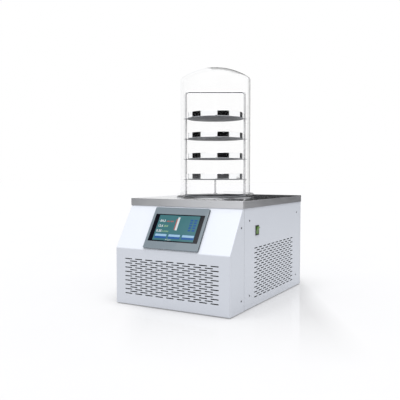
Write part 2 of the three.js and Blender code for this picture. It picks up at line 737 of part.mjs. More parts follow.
function jacket() {
  const floor = TRAP_BOTTOM - GAP;
  const stations = coilStations();
  const tail = stations[0];
  const top = stations[stations.length - 1];
  const bottom = JACKET_BOTTOM - SLIP;
  const tailHole = disc(outside(COIL_TUBE + SLIP, SMALL), bottom, floor + SLIP, SMALL);
  const loose = COIL_TUBE + SLIP * 3;
  const topHole = new THREE.CylinderGeometry(loose, loose, JACKET_RADIUS, SMALL);
  const turn = Math.atan2(top.y, top.x) - Math.PI / 2;
  topHole.translate(0, JACKET_RADIUS, 0).rotateZ(turn).translate(0, 0, top.z);
  const pipeHole = new THREE.CylinderGeometry(
    outside(PIPE_RADIUS + GAP, SMALL),
    outside(PIPE_RADIUS + GAP, SMALL),
    JACKET_RADIUS,
    SMALL,
  );
  return cut(
    disc(JACKET_RADIUS, JACKET_BOTTOM, PANEL_TOP, TURNED),
    disc(JACKET_BORE, floor, DECK_TOP, TURNED),
    tailHole.translate(tail.x, tail.y, 0),
    topHole,
    pipeHole.translate(0, JACKET_RADIUS, PIPE_HEIGHT),
    disc(outside(HOSE_RADIUS + GAP, SMALL), bottom, floor + SLIP, SMALL),
  );
}

place('cold_trap', coldTrap(), stainless, chamber);
place('seal_flange', sealFlange(), stainless, chamber);
place('evaporator_coil', sweptRod(coilStations(), COIL_TUBE), copper, chamber);
place('foam_jacket', jacket(), foam, chamber);

// ---- Bell jar and its seal ---------------------------------------------------------------------

// A dished end: a small knuckle, then a wide crown, from the wall up to the axis.
function dish(radius, crown, knuckle, apex, knuckleSteps, crownSteps) {
  const lift = Math.sqrt((crown - knuckle) ** 2 - (radius - knuckle) ** 2);
  const crownCentre = apex - crown;
  const meet = Math.asin((radius - knuckle) / (crown - knuckle));
  const points = [];
  for (let i = 0; i <= knuckleSteps; i++) {
    const angle = (i / knuckleSteps) * (Math.PI / 2 - meet);
    const [out, up] = [knuckle * Math.cos(angle), knuckle * Math.sin(angle)];
    points.push([radius - knuckle + out, crownCentre + lift + up]);
  }
  for (let i = 1; i <= crownSteps; i++) {
    const angle = meet * (1 - i / crownSteps);
    points.push([crown * Math.sin(angle), crownCentre + crown * Math.cos(angle)]);
  }
  points[points.length - 1][0] = 0;
  return points;
}

// The domed shell, open below.
function bellJar() {
  const apex = BELL_FOOT + BELL_HEIGHT;
  const bore = BELL_RADIUS - BELL_WALL;
  const knuckle = BELL_WALL + BELL_KNUCKLE_ADDED;
  const outer = dish(BELL_RADIUS, BELL_CROWN_RADIUS, knuckle, apex, 2, 4);
  const inner = dish(bore, BELL_CROWN_RADIUS - BELL_WALL, BELL_KNUCKLE_ADDED, apex - BELL_WALL, 1, 2);
  const shell = turned([[0, BELL_FOOT], [BELL_RADIUS, BELL_FOOT], ...outer], ROUND);
  const hollow = turned([[0, BELL_FOOT - BELL_WALL], [bore, BELL_FOOT - BELL_WALL], ...inner], ROUND);
  return cut(shell, hollow);
}

// The ring bonded round its foot, which sits on the seal.
function bellFlange() {
  return ring(
    BELL_RADIUS + GAP,
    BELL_FLANGE_RADIUS,
    BELL_FOOT,
    BELL_FOOT + BELL_FLANGE_THICKNESS,
    ROUND,
  );
}

function gasket() {
  const outer = BELL_FLANGE_RADIUS - GASKET_INSET;
  return ring(outer - GASKET_WIDTH, outer, SEAL_TOP + GAP, GASKET_TOP, ROUND);
}

place('bell_seal', gasket(), rubber, chamber);
place('bell_jar', bellJar(), acrylic, chamber);
place('bell_flange', bellFlange(), acrylic, chamber);

// ---- Tray rack ---------------------------------------------------------------------------------

const rack = new THREE.Group();
rack.rotation.z = THREE.MathUtils.degToRad(RACK_TURN);
chamber.add(rack);

function rackBase() {
  const bar = centredBlock(2 * BASE_RING_RADIUS, BASE_BAR_WIDTH, BASE_BAR_THICKNESS);
  const hoop = ring(
    BASE_RING_BORE,
    BASE_RING_RADIUS,
    BASE_RING_FOOT,
    Math.max(BASE_RING_FOOT + BASE_RING_HEIGHT, BASE_BAR_BOTTOM + SLIP),
    ROUND,
  );
  return join(hoop, bar.translate(0, 0, (BASE_BAR_BOTTOM + BASE_BAR_TOP) / 2));
}

function rackFrame() {
  const rail = RACK_FOOT + FRAME_HEIGHT;
  const corners = [
    [-POST_SPREAD, 0, RACK_FOOT],
    [-POST_SPREAD, 0, rail],
    [POST_SPREAD, 0, rail],
    [POST_SPREAD, 0, RACK_FOOT],
  ];
  return sweptRod(bentStations(corners, FRAME_BEND, 3), POST_RADIUS, POST_FACETS);
}

function centreRod() {
  const top = LOWEST_SHELF - GAP;
  const nut = RACK_FOOT + FOOT_NUT_HEIGHT;
  return turned([
    [0, RACK_FOOT],
    [FOOT_NUT_RADIUS, RACK_FOOT],
    [FOOT_NUT_RADIUS, nut],
    [CENTRE_ROD_RADIUS, nut],
    [CENTRE_ROD_RADIUS, top],
    [0, top],
  ], SMALL);
}

// A round shelf with an ear round each post and a low stop at its front and back.
function shelf() {
  const hole = outside(POST_RADIUS + GAP, WIRE);
  const ears = [-1, 1].map((side) =>
    disc(hole + SHELF_EAR, 0, SHELF_THICKNESS, WIRE).translate(side * POST_SPREAD, 0, 0));
  const holes = [-1, 1].map((side) =>
    disc(hole, -SHELF_THICKNESS, SHELF_THICKNESS * 2, WIRE).translate(side * POST_SPREAD, 0, 0));
  const stopInside = TRAY_RADIUS + SLIP;
  const stops = [-1, 1].map((side) =>
    centredBlock(STOP_WIDTH, SHELF_THICKNESS, STOP_HEIGHT).translate(
      0,
      side * (stopInside + SHELF_THICKNESS / 2),
      STOP_HEIGHT / 2,
    ));
  return cut(join(disc(SHELF_RADIUS, 0, SHELF_THICKNESS, ROUND), ...ears, ...stops), ...holes);
}

function tray() {
  return turned([
    [0, 0],
    [TRAY_RADIUS, 0],
    [TRAY_RADIUS, TRAY_HEIGHT],
    [TRAY_RADIUS - TRAY_WALL, TRAY_HEIGHT],
    [TRAY_RADIUS - TRAY_WALL, TRAY_WALL],
    [0, TRAY_WALL],
  ], ROUND);
}

place('rack_base', rackBase(), stainless, rack);
place('rack_frame', rackFrame(), stainless, rack);
place('centre_rod', centreRod(), stainless, rack);
for (let level = 0; level < SHELF_COUNT; level++) {
  const underside = LOWEST_SHELF + level * SHELF_PITCH;
  place(`shelf_${level + 1}`, shelf(), stainless, rack, [0, 0, underside]);
  place(`tray_${level + 1}`, tray(), stainless, rack, [0, 0, underside + SHELF_THICKNESS + GAP]);
}

// ---- Touch screen ------------------------------------------------------------------------------

// Local axes on the slanted front: X across, Y up the slope, Z out of the panel.
const slope = new THREE.Group();
slope.position.set(0, 0, FOLD_HEIGHT);
slope.rotation.x = SLANT_ANGLE;
cabinet.add(slope);
const screen = new THREE.Group();
screen.position.y = BEZEL_CENTRE;
slope.add(screen);

function bezel() {
  const outline = roundedRectangle(BEZEL_WIDTH, BEZEL_HEIGHT, BEZEL_CORNER);
  const x = GLASS_WIDTH / 2 + GAP;
  const y = GLASS_HEIGHT / 2 + GAP;
  const corners = [[-x, -y], [x, -y], [x, y], [-x, y]].map((corner) => new THREE.Vector2(...corner));
  outline.holes.push(new THREE.Path(corners));
  const frame = new THREE.ExtrudeGeometry(outline, {
    depth: BEZEL_THICKNESS - 2 * BEZEL_CHAMFER,
    bevelThickness: BEZEL_CHAMFER,
    bevelSize: BEZEL_CHAMFER,
    bevelOffset: -BEZEL_CHAMFER,
    bevelSegments: 1,
    curveSegments: 1,
  });
  return frame.translate(0, 0, GAP + BEZEL_CHAMFER);
}

function screenHousing(glassBack) {
  const plug = block(
    [-GLASS_WIDTH / 2, -GLASS_HEIGHT / 2, -SHEET * 2],
    [GLASS_WIDTH / 2, GLASS_HEIGHT / 2, glassBack - GAP],
  );
  const box = block(
    [-HOUSING_WIDTH / 2, -HOUSING_HEIGHT / 2, -SHEET - GAP - HOUSING_DEPTH],
    [HOUSING_WIDTH / 2, HOUSING_HEIGHT / 2, -SHEET - GAP],
  );
  return join(box, plug);
}

const glassFront = GAP + BEZEL_THICKNESS - GLASS_RECESS;
const glassMiddle = glassFront - GLASS_THICKNESS / 2;
const glass = centredBlock(GLASS_WIDTH, GLASS_HEIGHT, GLASS_THICKNESS, 0, 0, glassMiddle);
place('screen_bezel', bezel(), greyPlastic, screen);
place('screen_glass', glass, screenGlass, screen);
place('screen_housing', screenHousing(glassFront - GLASS_THICKNESS), blackPlastic, screen);

// ---- Power switch ------------------------------------------------------------------------------

function switchSizes() {
  const cavityTall = 2 * (ROCKER_RADIUS + GAP * 2);
  const bodyTall = cavityTall + 2 * SWITCH_WALL;
  const bodyWidth = SWITCH_WIDTH - 2 * SWITCH_RIM;
  const cavityWidth = bodyWidth - 2 * SWITCH_WALL;
  return { cavityTall, bodyTall, bodyWidth, cavityWidth };
}

// A pin or its hole, along Y.
function pinAlongY(radius, length) {
  return new THREE.CylinderGeometry(radius, radius, length, SMALL);
}

// The frame that clips into the side panel: rim outside, body inside, open cavity for the rocker.
// Its local X points out of the panel, from the panel's outer face.
function switchFrame() {
  const { cavityTall, bodyTall, bodyWidth, cavityWidth } = switchSizes();
  const rim = centredBlock(SWITCH_RIM, SWITCH_WIDTH, SWITCH_TALL, GAP + SWITCH_RIM / 2, 0, 0);
  const body = block([-SWITCH_BODY, -bodyWidth / 2, -bodyTall / 2], [GAP * 2, bodyWidth / 2, bodyTall / 2]);
  const cavity = block(
    [SWITCH_WALL - SWITCH_BODY, -cavityWidth / 2, -cavityTall / 2],
    [SWITCH_BODY, cavityWidth / 2, cavityTall / 2],
  );
  const pinHole = pinAlongY(outside(ROCKER_PIN + GAP, SMALL), bodyWidth - SWITCH_WALL / 2);
  return cut(join(rim, body), cavity, pinHole.translate(-SHEET, 0, 0));
}

// The rocker: round ends about its pins and a dished face, tipped so that its upper half stands out.
function rocker() {
  const { cavityWidth } = switchSizes();
  const width = cavityWidth - 2 * GAP;
  const face = THREE.MathUtils.degToRad(ROCKER_FACE);
  const back = THREE.MathUtils.degToRad(-ROCKER_BACK);
  const outline = new THREE.Shape();
  outline.absarc(0, 0, ROCKER_RADIUS, back, face, false);
  outline.lineTo(0, ROCKER_RADIUS * Math.sin(face) - ROCKER_DISH);
  outline.absarc(0, 0, ROCKER_RADIUS, Math.PI - face, Math.PI - back, false);
  const body = new THREE.ExtrudeGeometry(outline, { depth: width, bevelEnabled: false, curveSegments: 3 });
  body.translate(0, 0, -width / 2).rotateX(Math.PI / 2).rotateY(Math.PI / 2);
  const pins = pinAlongY(ROCKER_PIN, cavityWidth + SWITCH_WALL / 2);
  return join(body, pins);
}

const powerSwitch = new THREE.Group();
powerSwitch.position.set(HALF_WIDTH, SWITCH_DEPTH, SWITCH_HEIGHT);
cabinet.add(powerSwitch);
place('switch_frame', switchFrame(), blackPlastic, powerSwitch);
const rockerMesh = place('switch_rocker', rocker(), greenPlastic, powerSwitch, [-SHEET, 0, 0]);
rockerMesh.rotation.y = THREE.MathUtils.degToRad(ROCKER_TILT);

// ---- Condenser and fan -------------------------------------------------------------------------

const blower = new THREE.Group();
blower.position.set(0, 0, FAN_HEIGHT);
cabinet.add(blower);

// A finned block between two end plates that stand on the pan.
function condenser() {
  const half = CONDENSER_WIDTH / 2;
  const plates = [-1, 1].map((side) =>
    centredBlock(HEADER * 2, CONDENSER_DEPTH, CONDENSER_HEIGHT, side * half, 0, 0));
  const core = centredBlock(CONDENSER_WIDTH, CONDENSER_DEPTH, CONDENSER_HEIGHT - 2 * FLANGE);
  const pitch = (CONDENSER_WIDTH - 2 * HEADER) / FIN_SPACES;
  const spaces = [];
  for (let i = 0; i < FIN_SPACES; i++) {
    const x = (i - (FIN_SPACES - 1) / 2) * pitch;
    spaces.push(centredBlock(pitch / 2, 2 * FIN_DEPTH, CONDENSER_HEIGHT, x, -CONDENSER_DEPTH / 2, 0));
  }
  const middle = (CONDENSER_INSET + CONDENSER_REAR) / 2;
  return cut(join(core, ...plates), mergeGeometries(spaces)).translate(0, middle, 0);
}

// A tray round the condenser's back with a round throat for the fan.
function shroud() {
  const x = HEADER_OUTSIDE;
  const z = CONDENSER_HEIGHT / 2;
  const throat = new THREE.CylinderGeometry(SHROUD_BORE, SHROUD_BORE, SHROUD_DEPTH, TURNED);
  return cut(
    block([-x, SHROUD_FRONT, -z], [x, SHROUD_REAR, z]),
    block([SHEET - x, CONDENSER_INSET, SHEET - z], [x - SHEET, SHROUD_REAR - SHEET, z - SHEET]),
    throat.translate(0, SHROUD_REAR, 0),
  );
}

// Motor can, shaft and the crossed arms that hold it on the shroud.
function fanMotor() {
  const reach = SHROUD_BORE + SPIDER_WIDTH;
  const can = new THREE.CylinderGeometry(MOTOR_RADIUS, MOTOR_RADIUS, MOTOR_DEPTH, TURNED);
  const shaft = pinAlongY(SHAFT_RADIUS, FAN_HUB_DEPTH);
  const arms = [];
  for (const turn of [1, -1]) {
    const angle = (turn * Math.PI) / 4;
    arms.push(centredBlock(2 * reach, SPIDER_THICKNESS, SPIDER_WIDTH).rotateY(angle));
    for (const side of [-1, 1]) {
      const length = SPIDER_FRONT - SHROUD_REAR - GAP + SPIDER_THICKNESS;
      const leg = centredBlock(SPIDER_WIDTH, length, SPIDER_WIDTH, side * (reach - SPIDER_WIDTH / 2), 0, 0);
      arms.push(leg.rotateY(angle).translate(0, (SPIDER_THICKNESS - length) / 2, 0));
    }
  }
  return join(
    can.translate(0, MOTOR_DEPTH / 2, 0),
    shaft.translate(0, -FAN_HUB_DEPTH / 4, 0),
    ...arms,
  ).translate(0, SPIDER_FRONT + SPIDER_THICKNESS / 2, 0);
}

function fanBlade(turn) {
  const inner = FAN_HUB_RADIUS - BLADE_THICKNESS * 2;
  const outline = new THREE.Shape();
  outline.moveTo(inner, -BLADE_ROOT);
  outline.lineTo(FAN_RADIUS - BLADE_ROOT, -BLADE_TIP);
  outline.lineTo(FAN_RADIUS, BLADE_ROOT - BLADE_TIP);
  outline.lineTo(FAN_RADIUS, BLADE_ROOT);
  outline.lineTo(inner, BLADE_ROOT);
  const blade = new THREE.ExtrudeGeometry(outline, { depth: BLADE_THICKNESS, bevelEnabled: false });
  blade.translate(0, 0, -BLADE_THICKNESS / 2).rotateX(Math.PI / 2);
  return blade.rotateX(THREE.MathUtils.degToRad(BLADE_PITCH)).rotateY(turn);
}

function fan() {
  const hub = new THREE.CylinderGeometry(FAN_HUB_RADIUS, FAN_HUB_RADIUS, FAN_HUB_DEPTH, TURNED);
  const blades = [];
  for (let i = 0; i < FAN_BLADES; i++) {
    blades.push(fanBlade((i / FAN_BLADES) * Math.PI * 2));
  }
  const bore = pinAlongY(outside(SHAFT_RADIUS + GAP, SMALL), FAN_HUB_DEPTH);
  return cut(join(hub, ...blades), bore.translate(0, FAN_HUB_DEPTH / 4, 0));
}

place('condenser', condenser(), aluminium, blower);
place('fan_shroud', shroud(), blackSteel, blower);
place('fan_motor', fanMotor(), blackSteel, blower);
place('fan', fan(), blackPlastic, blower, [0, FAN_Y, 0]);

// ---- Compressor --------------------------------------------------------------------------------

function compressor() {
  const r = COMPRESSOR_RADIUS;
  const upper = r - COMPRESSOR_SEAM;
  const h = COMPRESSOR_HEIGHT;
  const shell = turned([
    [0, 0],
    [r * 0.8, 0],
    [r, h * 0.07],
    [r, h * 0.44],
    [upper, h * 0.46],
    [upper, h * 0.8],
    [r * 0.8, h * 0.93],
    [r * 0.5, h],
    [0, h],
  ], TURNED);
  return join(shell, centredBlock(PLATE_WIDTH, PLATE_DEPTH, PLATE_THICKNESS, 0, 0, PLATE_THICKNESS / 2));
}

function mountGrommet() {
  const r = MOUNT_RADIUS;
  return turned([[0, 0], [r, 0], [r * 0.75, MOUNT_HEIGHT / 2], [r, MOUNT_HEIGHT], [0, MOUNT_HEIGHT]], SMALL);
}

const compressorSeat = new THREE.Group();
compressorSeat.position.set(COMPRESSOR_X, COMPRESSOR_Y, 0);
cabinet.add(compressorSeat);
place('compressor', compressor(), blackSteel, compressorSeat, [0, 0, COMPRESSOR_BASE]);
for (const [end, y] of [['front', -1], ['rear', 1]]) {
  for (const [side, x] of [['left', -1], ['right', 1]]) {
    place(`compressor_mount_${end}_${side}`, mountGrommet(), rubber, compressorSeat, [
      x * (PLATE_WIDTH / 2 - MOUNT_INSET),
      y * (PLATE_DEPTH / 2 - MOUNT_INSET),
      PAN_FLOOR + GAP,
    ]);
  }
}

// ---- Refrigerant lines -------------------------------------------------------------------------

function line(corners, radius = LINE_RADIUS, bend = LINE_BEND) {
  return sweptRod(bentStations(corners, bend, 1), radius);
}

function suctionLine() {
  const stations = coilStations();
  const end = stations[stations.length - 1];
  const out = new THREE.Vector3(end.x, end.y, 0).normalize();
  const start = end.clone().addScaledVector(out, GAP).setY(end.y + out.y * GAP + CHAMBER_DEPTH);
  const portY = COMPRESSOR_Y - PORT_OFFSET;
  return line([
    [start.x, start.y, start.z],
    [start.x + out.x * SUCTION_RUN, start.y + out.y * SUCTION_RUN, start.z],
    [COMPRESSOR_X, portY, start.z],
    [COMPRESSOR_X, portY, COMPRESSOR_TOP + GAP],
  ], COIL_TUBE, HOSE_BEND);
}

function dischargeLine() {
  const portY = COMPRESSOR_Y + PORT_OFFSET;
  const inletY = CONDENSER_INSET + CONDENSER_DEPTH / 2;
  const inletZ = FAN_HEIGHT + CONDENSER_HEIGHT / 3;
  return line([
    [COMPRESSOR_X, portY, COMPRESSOR_TOP + GAP],
    [COMPRESSOR_X, portY, DISCHARGE_HEIGHT],
    [DISCHARGE_X, portY, DISCHARGE_HEIGHT],
    [DISCHARGE_X, inletY, DISCHARGE_HEIGHT],
    [DISCHARGE_X, inletY, inletZ],
    [HEADER_OUTSIDE + GAP, inletY, inletZ],
  ], LINE_RADIUS, LINE_BEND);
}

function liquidLine() {
  const outletY = CONDENSER_INSET + CONDENSER_DEPTH / 2;
  return line([
    [HEADER_OUTSIDE + GAP, outletY, LIQUID_HEIGHT],
    [DRIER_X, outletY, LIQUID_HEIGHT],
    [DRIER_X, DRIER_FRONT - GAP, LIQUID_HEIGHT],
  ]);
}

function filterDrier() {
  const neck = LINE_RADIUS + LINE_WALL;
  const profile = [
    [0, 0],
    [neck, 0],
    [DRIER_RADIUS, DRIER_RADIUS],
    [DRIER_RADIUS, DRIER_LENGTH - DRIER_RADIUS],
    [neck, DRIER_LENGTH],
    [0, DRIER_LENGTH],
  ];
  return turnedAlongY(profile, SMALL);
}

function capillaryLine() {
  const tail = coilStations()[0];
  const tailY = tail.y + CHAMBER_DEPTH;
  return line([
    [DRIER_X, DRIER_FRONT + DRIER_LENGTH + GAP, LIQUID_HEIGHT],
    [DRIER_X, tailY, LIQUID_HEIGHT],
    [tail.x, tailY, LIQUID_HEIGHT],
    [tail.x, tailY, tail.z - GAP],
  ], CAPILLARY_RADIUS);
}

place('suction_line', suctionLine(), copper);
place('discharge_line', dischargeLine(), copper);
place('liquid_line', liquidLine(), copper);
place('filter_drier', filterDrier(), copper, cabinet, [DRIER_X, DRIER_FRONT, LIQUID_HEIGHT]);
place('capillary_line', capillaryLine(), copper);

// ---- Vacuum line, air release and drain --------------------------------------------------------

// Pipe from the trap's wall through the rear panel, ending in a clamp flange.
function vacuumPipe() {
  const end = CASE_DEPTH + PORT_REACH;
  const flange = end - PORT_FLANGE_THICKNESS;
  return turnedAlongY([
    [PIPE_BORE, PIPE_START],
    [PIPE_RADIUS, PIPE_START],
    [PIPE_RADIUS, flange - PORT_FLANGE_THICKNESS],
    [PORT_FLANGE_RADIUS, flange],
    [PORT_FLANGE_RADIUS, end],
    [PIPE_BORE, end],
    [PIPE_BORE, PIPE_START],
  ], SMALL);
}

// A gauge head hanging under the pipe.
function vacuumSensor() {
  const top = PIPE_HEIGHT - PIPE_RADIUS - GAP;
  const shoulder = top - SENSOR_NECK_HEIGHT;
  return turned([
    [0, shoulder - SENSOR_HEIGHT],
    [SENSOR_RADIUS, shoulder - SENSOR_HEIGHT],
    [SENSOR_RADIUS, shoulder],
    [SENSOR_NECK_RADIUS, shoulder],
    [SENSOR_NECK_RADIUS, top],
    [0, top],
  ], SMALL);
}

// A small ball valve on the rear panel: barb inside, hexagon outside, spout and stem.
// Its local Y = 0 is the rear panel's outer face.
const VALVE_STEM_Y = GAP + VALVE_LENGTH / 2;

function valveBody() {
  const body = turnedAlongY([
    [0, -VALVE_BARB],
    [HOSE_RADIUS, -VALVE_BARB],
    [HOSE_RADIUS, GAP],
    [VALVE_RADIUS, GAP],
    [VALVE_RADIUS, GAP + VALVE_LENGTH],
    [HOSE_RADIUS, GAP + VALVE_LENGTH],
    [HOSE_RADIUS, VALVE_REACH],
    [0, VALVE_REACH],
  ], HEXAGON);
  const stem = disc(STEM_RADIUS, 0, VALVE_RADIUS + GAP + LEVER_THICKNESS, SMALL);
  return join(body, stem.translate(0, VALVE_STEM_Y, 0));
}

// A flat lever on the stem, pointing across the flow, as it does when the valve is shut.
function valveLever() {
  const bottom = VALVE_RADIUS + GAP;
  const top = bottom + LEVER_THICKNESS;
  const handle = block(
    [-LEVER_LENGTH, -LEVER_WIDTH / 2, bottom],
    [0, LEVER_WIDTH / 2, top],
  );
  const hub = disc(LEVER_HUB_RADIUS, bottom, top, SMALL);
  return cut(join(hub, handle), disc(outside(STEM_RADIUS + GAP, SMALL), 0, top + GAP, SMALL));
}

function addValve(name, x, z) {
  const valve = new THREE.Group();
  valve.position.set(x, CASE_DEPTH, z);
  cabinet.add(valve);
  place(`${name}_valve`, valveBody(), brass, valve);
  place(`${name}_lever`, valveLever(), blackPlastic, valve, [0, VALVE_STEM_Y, 0]);
}

function airHose() {
  const y = CASE_DEPTH - SENSOR_INSET / 2;
  return line([
    [-PIPE_RADIUS - GAP, y, PIPE_HEIGHT],
    [AIR_VALVE_X, y, PIPE_HEIGHT],
    [AIR_VALVE_X, CASE_DEPTH - VALVE_BARB - GAP, PIPE_HEIGHT],
  ], HOSE_RADIUS, HOSE_BEND);
}

function drainPipe() {
  return line([
    [0, CHAMBER_DEPTH, TRAP_BOTTOM - GAP],
    [0, CHAMBER_DEPTH, DRAIN_RUN_HEIGHT],
    [DRAIN_X, CHAMBER_DEPTH, DRAIN_RUN_HEIGHT],
    [DRAIN_X, CASE_DEPTH - DRAIN_DROP, DRAIN_RUN_HEIGHT],
    [DRAIN_X, CASE_DEPTH - DRAIN_DROP, DRAIN_HEIGHT],
    [DRAIN_X, CASE_DEPTH - VALVE_BARB - GAP, DRAIN_HEIGHT],
  ], HOSE_RADIUS, HOSE_BEND);
}

place('vacuum_pipe', vacuumPipe(), stainless, cabinet, [0, 0, PIPE_HEIGHT]);
place('vacuum_sensor', vacuumSensor(), aluminium, cabinet, [0, CASE_DEPTH - SENSOR_INSET, 0]);
place('air_hose', airHose(), silicone);
addValve('air', AIR_VALVE_X, PIPE_HEIGHT);
place('drain_pipe', drainPipe(), silicone);
addValve('drain', DRAIN_X, DRAIN_HEIGHT);

// ---- Rear sockets ------------------------------------------------------------------------------

// Places of the three contacts: the middle one stands above the outer two.
function contactPlaces() {
  return [-1, 0, 1].map((i) => [i * CONTACT_PITCH, i === 0 ? EARTH_RISE / 2 : -EARTH_RISE / 2]);
}

// Blocks at the three contacts, as wide and tall as given.
function contacts(width, tall, back, front) {
  return contactPlaces().map(([x, z]) =>
    block([x - width / 2, back, z - tall / 2], [x + width / 2, front, z + tall / 2]));
}

// A panel socket: a rim outside and a body inside. An inlet has pins in a recess, an outlet has slots.
function socket(isInlet) {
  const front = GAP + SOCKET_RIM;
  const floor = SOCKET_FLOOR - SOCKET_REACH;
  const x = SOCKET_WIDTH / 2;
  const z = SOCKET_TALL / 2;
  const rim = block([-x - 2 * SOCKET_RIM, GAP, -z - SOCKET_RIM], [x + 2 * SOCKET_RIM, front, z + SOCKET_RIM]);
  const body = join(rim, block([-x, -SOCKET_REACH, -z], [x, GAP * 2, z]));
  if (isInlet) {
    const [recessX, recessZ] = [x - SOCKET_WALL, z - SOCKET_WALL];
    const recess = block([-recessX, floor, -recessZ], [recessX, front + GAP, recessZ]);
    return join(cut(body, recess), ...contacts(CONTACT_WIDTH, CONTACT_TALL, floor - GAP, -SOCKET_RIM));
  }
  return cut(body, ...contacts(CONTACT_WIDTH + 2 * SLIP, CONTACT_TALL + 2 * SLIP, floor, front + GAP));
}

function fuseHolder() {
  const cap = FUSE_RADIUS + SOCKET_RIM;
  return turnedAlongY([
    [0, -SOCKET_REACH],
    [FUSE_RADIUS, -SOCKET_REACH],
    [FUSE_RADIUS, GAP],
    [cap, GAP],
    [cap, GAP + SOCKET_RIM],
    [FUSE_RADIUS, FUSE_CAP],
    [0, FUSE_CAP],
  ], SMALL);
}

place('power_inlet', socket(true), blackPlastic, cabinet, [INLET_X, CASE_DEPTH, SOCKET_HEIGHT]);
place('pump_outlet', socket(false), blackPlastic, cabinet, [OUTLET_X, CASE_DEPTH, SOCKET_HEIGHT]);
place('fuse_holder', fuseHolder(), blackPlastic, cabinet, [FUSE_X, CASE_DEPTH, SOCKET_HEIGHT]);

// ---- Electronics -------------------------------------------------------------------------------

// A circuit board standing on four spacers off the left panel, with its larger parts.
function controlBoard() {
  const middle = STANDOFF + BOARD_THICKNESS / 2;
  const board = centredBlock(BOARD_THICKNESS, BOARD_LENGTH, BOARD_HEIGHT, middle, 0, 0);
  const y = BOARD_LENGTH / 2 - STANDOFF_WIDTH;
  const z = BOARD_HEIGHT / 2 - STANDOFF_WIDTH;
  const pegs = [[-y, -z], [-y, z], [y, -z], [y, z]].map(([pegY, pegZ]) =>
    centredBlock(middle, STANDOFF_WIDTH, STANDOFF_WIDTH, middle / 2, pegY, pegZ));
  const parts = [
    block([middle, -0.8 * y, -z / 2], [middle + HEATSINK, -0.4 * y, 0]),
    block([middle, 0, -z], [middle + TERMINAL, 0.8 * y, -z / 2]),
    block([middle, 0, 0], [middle + RELAY, 0.3 * y, 0.7 * z]),
    block([middle, 0.5 * y, 0], [middle + RELAY, 0.8 * y, 0.7 * z]),
  ];
  return join(board, ...pegs, ...parts);
}

const panelInside = SHEET - HALF_WIDTH;
place('control_board', controlBoard(), boardGreen, cabinet, [panelInside + GAP, CHAMBER_DEPTH, BOARD_MIDDLE]);
const supply = block([0, 0, 0], [SUPPLY_WIDTH, SUPPLY_LENGTH, SUPPLY_HEIGHT]);
place('power_supply', supply, galvanised, cabinet, [
  panelInside + FLANGE + 2 * GAP,
  REAR_INSIDE - SUPPLY_INSET - SUPPLY_LENGTH,
  PAN_FLOOR + GAP,
]);

export default dryer;
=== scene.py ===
# %% [markdown]
# A benchtop freeze dryer: a white sheet-steel case with a slanted touch-screen front, a polished deck, and
# a clear bell jar over a rack of round trays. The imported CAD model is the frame: every new piece goes where
# its CAD node is, so the first step loads it and keeps its box. All lengths here are metres.

# %% Load the frame
import json
import math

import bmesh
import bpy
from mathutils import Matrix, Vector


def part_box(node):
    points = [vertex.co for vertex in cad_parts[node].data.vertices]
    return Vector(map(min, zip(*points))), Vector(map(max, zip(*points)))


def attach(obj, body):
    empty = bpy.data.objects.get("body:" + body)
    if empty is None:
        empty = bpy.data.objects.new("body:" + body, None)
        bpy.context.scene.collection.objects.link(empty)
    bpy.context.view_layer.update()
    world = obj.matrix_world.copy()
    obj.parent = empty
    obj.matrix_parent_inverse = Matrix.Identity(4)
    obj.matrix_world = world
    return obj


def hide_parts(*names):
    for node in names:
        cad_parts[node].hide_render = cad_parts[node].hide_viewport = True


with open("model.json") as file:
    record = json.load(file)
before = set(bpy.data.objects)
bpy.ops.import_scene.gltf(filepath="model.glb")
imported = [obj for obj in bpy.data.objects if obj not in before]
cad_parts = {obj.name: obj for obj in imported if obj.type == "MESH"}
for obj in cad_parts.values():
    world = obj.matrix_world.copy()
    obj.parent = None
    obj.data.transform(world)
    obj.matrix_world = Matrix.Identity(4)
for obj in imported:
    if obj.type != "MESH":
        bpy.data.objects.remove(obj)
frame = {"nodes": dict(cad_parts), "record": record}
scene = bpy.context.scene
scene.view_settings.view_transform = "Standard"
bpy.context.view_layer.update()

# %% [markdown]
# The camera stands a little above the deck, to the right of the front, about two metres away. A lens near
# 50 mm keeps the case's edges almost parallel, as in a catalogue picture. It has no shift, so the same
# camera can be turned to look from any other side.

# %% Camera
EYE = Vector((1.0027, -1.8930, 0.4600))
AIM = Vector((-0.0548, -0.0440, 0.3584))
LENS = 0.0499

camera = bpy.data.objects.new("camera", bpy.data.cameras.new("camera"))
camera.data.lens = LENS * 1000
camera.data.sensor_width = 36
camera.location = EYE
camera.rotation_euler = (AIM - EYE).to_track_quat("-Z", "Y").to_euler()
scene.collection.objects.link(camera)
scene.camera = camera
print("camera is", round((AIM - EYE).length, 3), "m from its aim")

# %% [markdown]
# Shader maths reads best as plain arithmetic. One small class wraps a socket, so that `1 - mask` or
# `cloud * 0.2 + 0.4` adds its own Math nodes. A second class holds one material and makes any other node
# from its type, its settings and what goes into its sockets.

# %% Sockets as numbers, and one place to make nodes
class Field:
    """A value that changes over a surface."""

    def __init__(self, finish, socket):
        self.finish = finish
        self.socket = socket

    def with_math(self, operation, first, second):
        node = self.finish.node("ShaderNodeMath", {"operation": operation}, {0: first, 1: second})
        return Field(self.finish, node.outputs[0])

    def power(self, exponent):
        return self.with_math("POWER", self, exponent)

    def ramp(self, start, end):
        """0 at one value and 1 at another, straight between."""
        sockets = {"Value": self, "From Min": start, "From Max": end}
        return Field(self.finish, self.finish.node("ShaderNodeMapRange", {}, sockets).outputs[0])

    def __add__(self, other):
        return self.with_math("ADD", self, other)

    def __mul__(self, other):
        return self.with_math("MULTIPLY", self, other)

    def __sub__(self, other):
        return self.with_math("SUBTRACT", self, other)

    def __rsub__(self, other):
        return self.with_math("SUBTRACT", other, self)

    __radd__ = __add__
    __rmul__ = __mul__


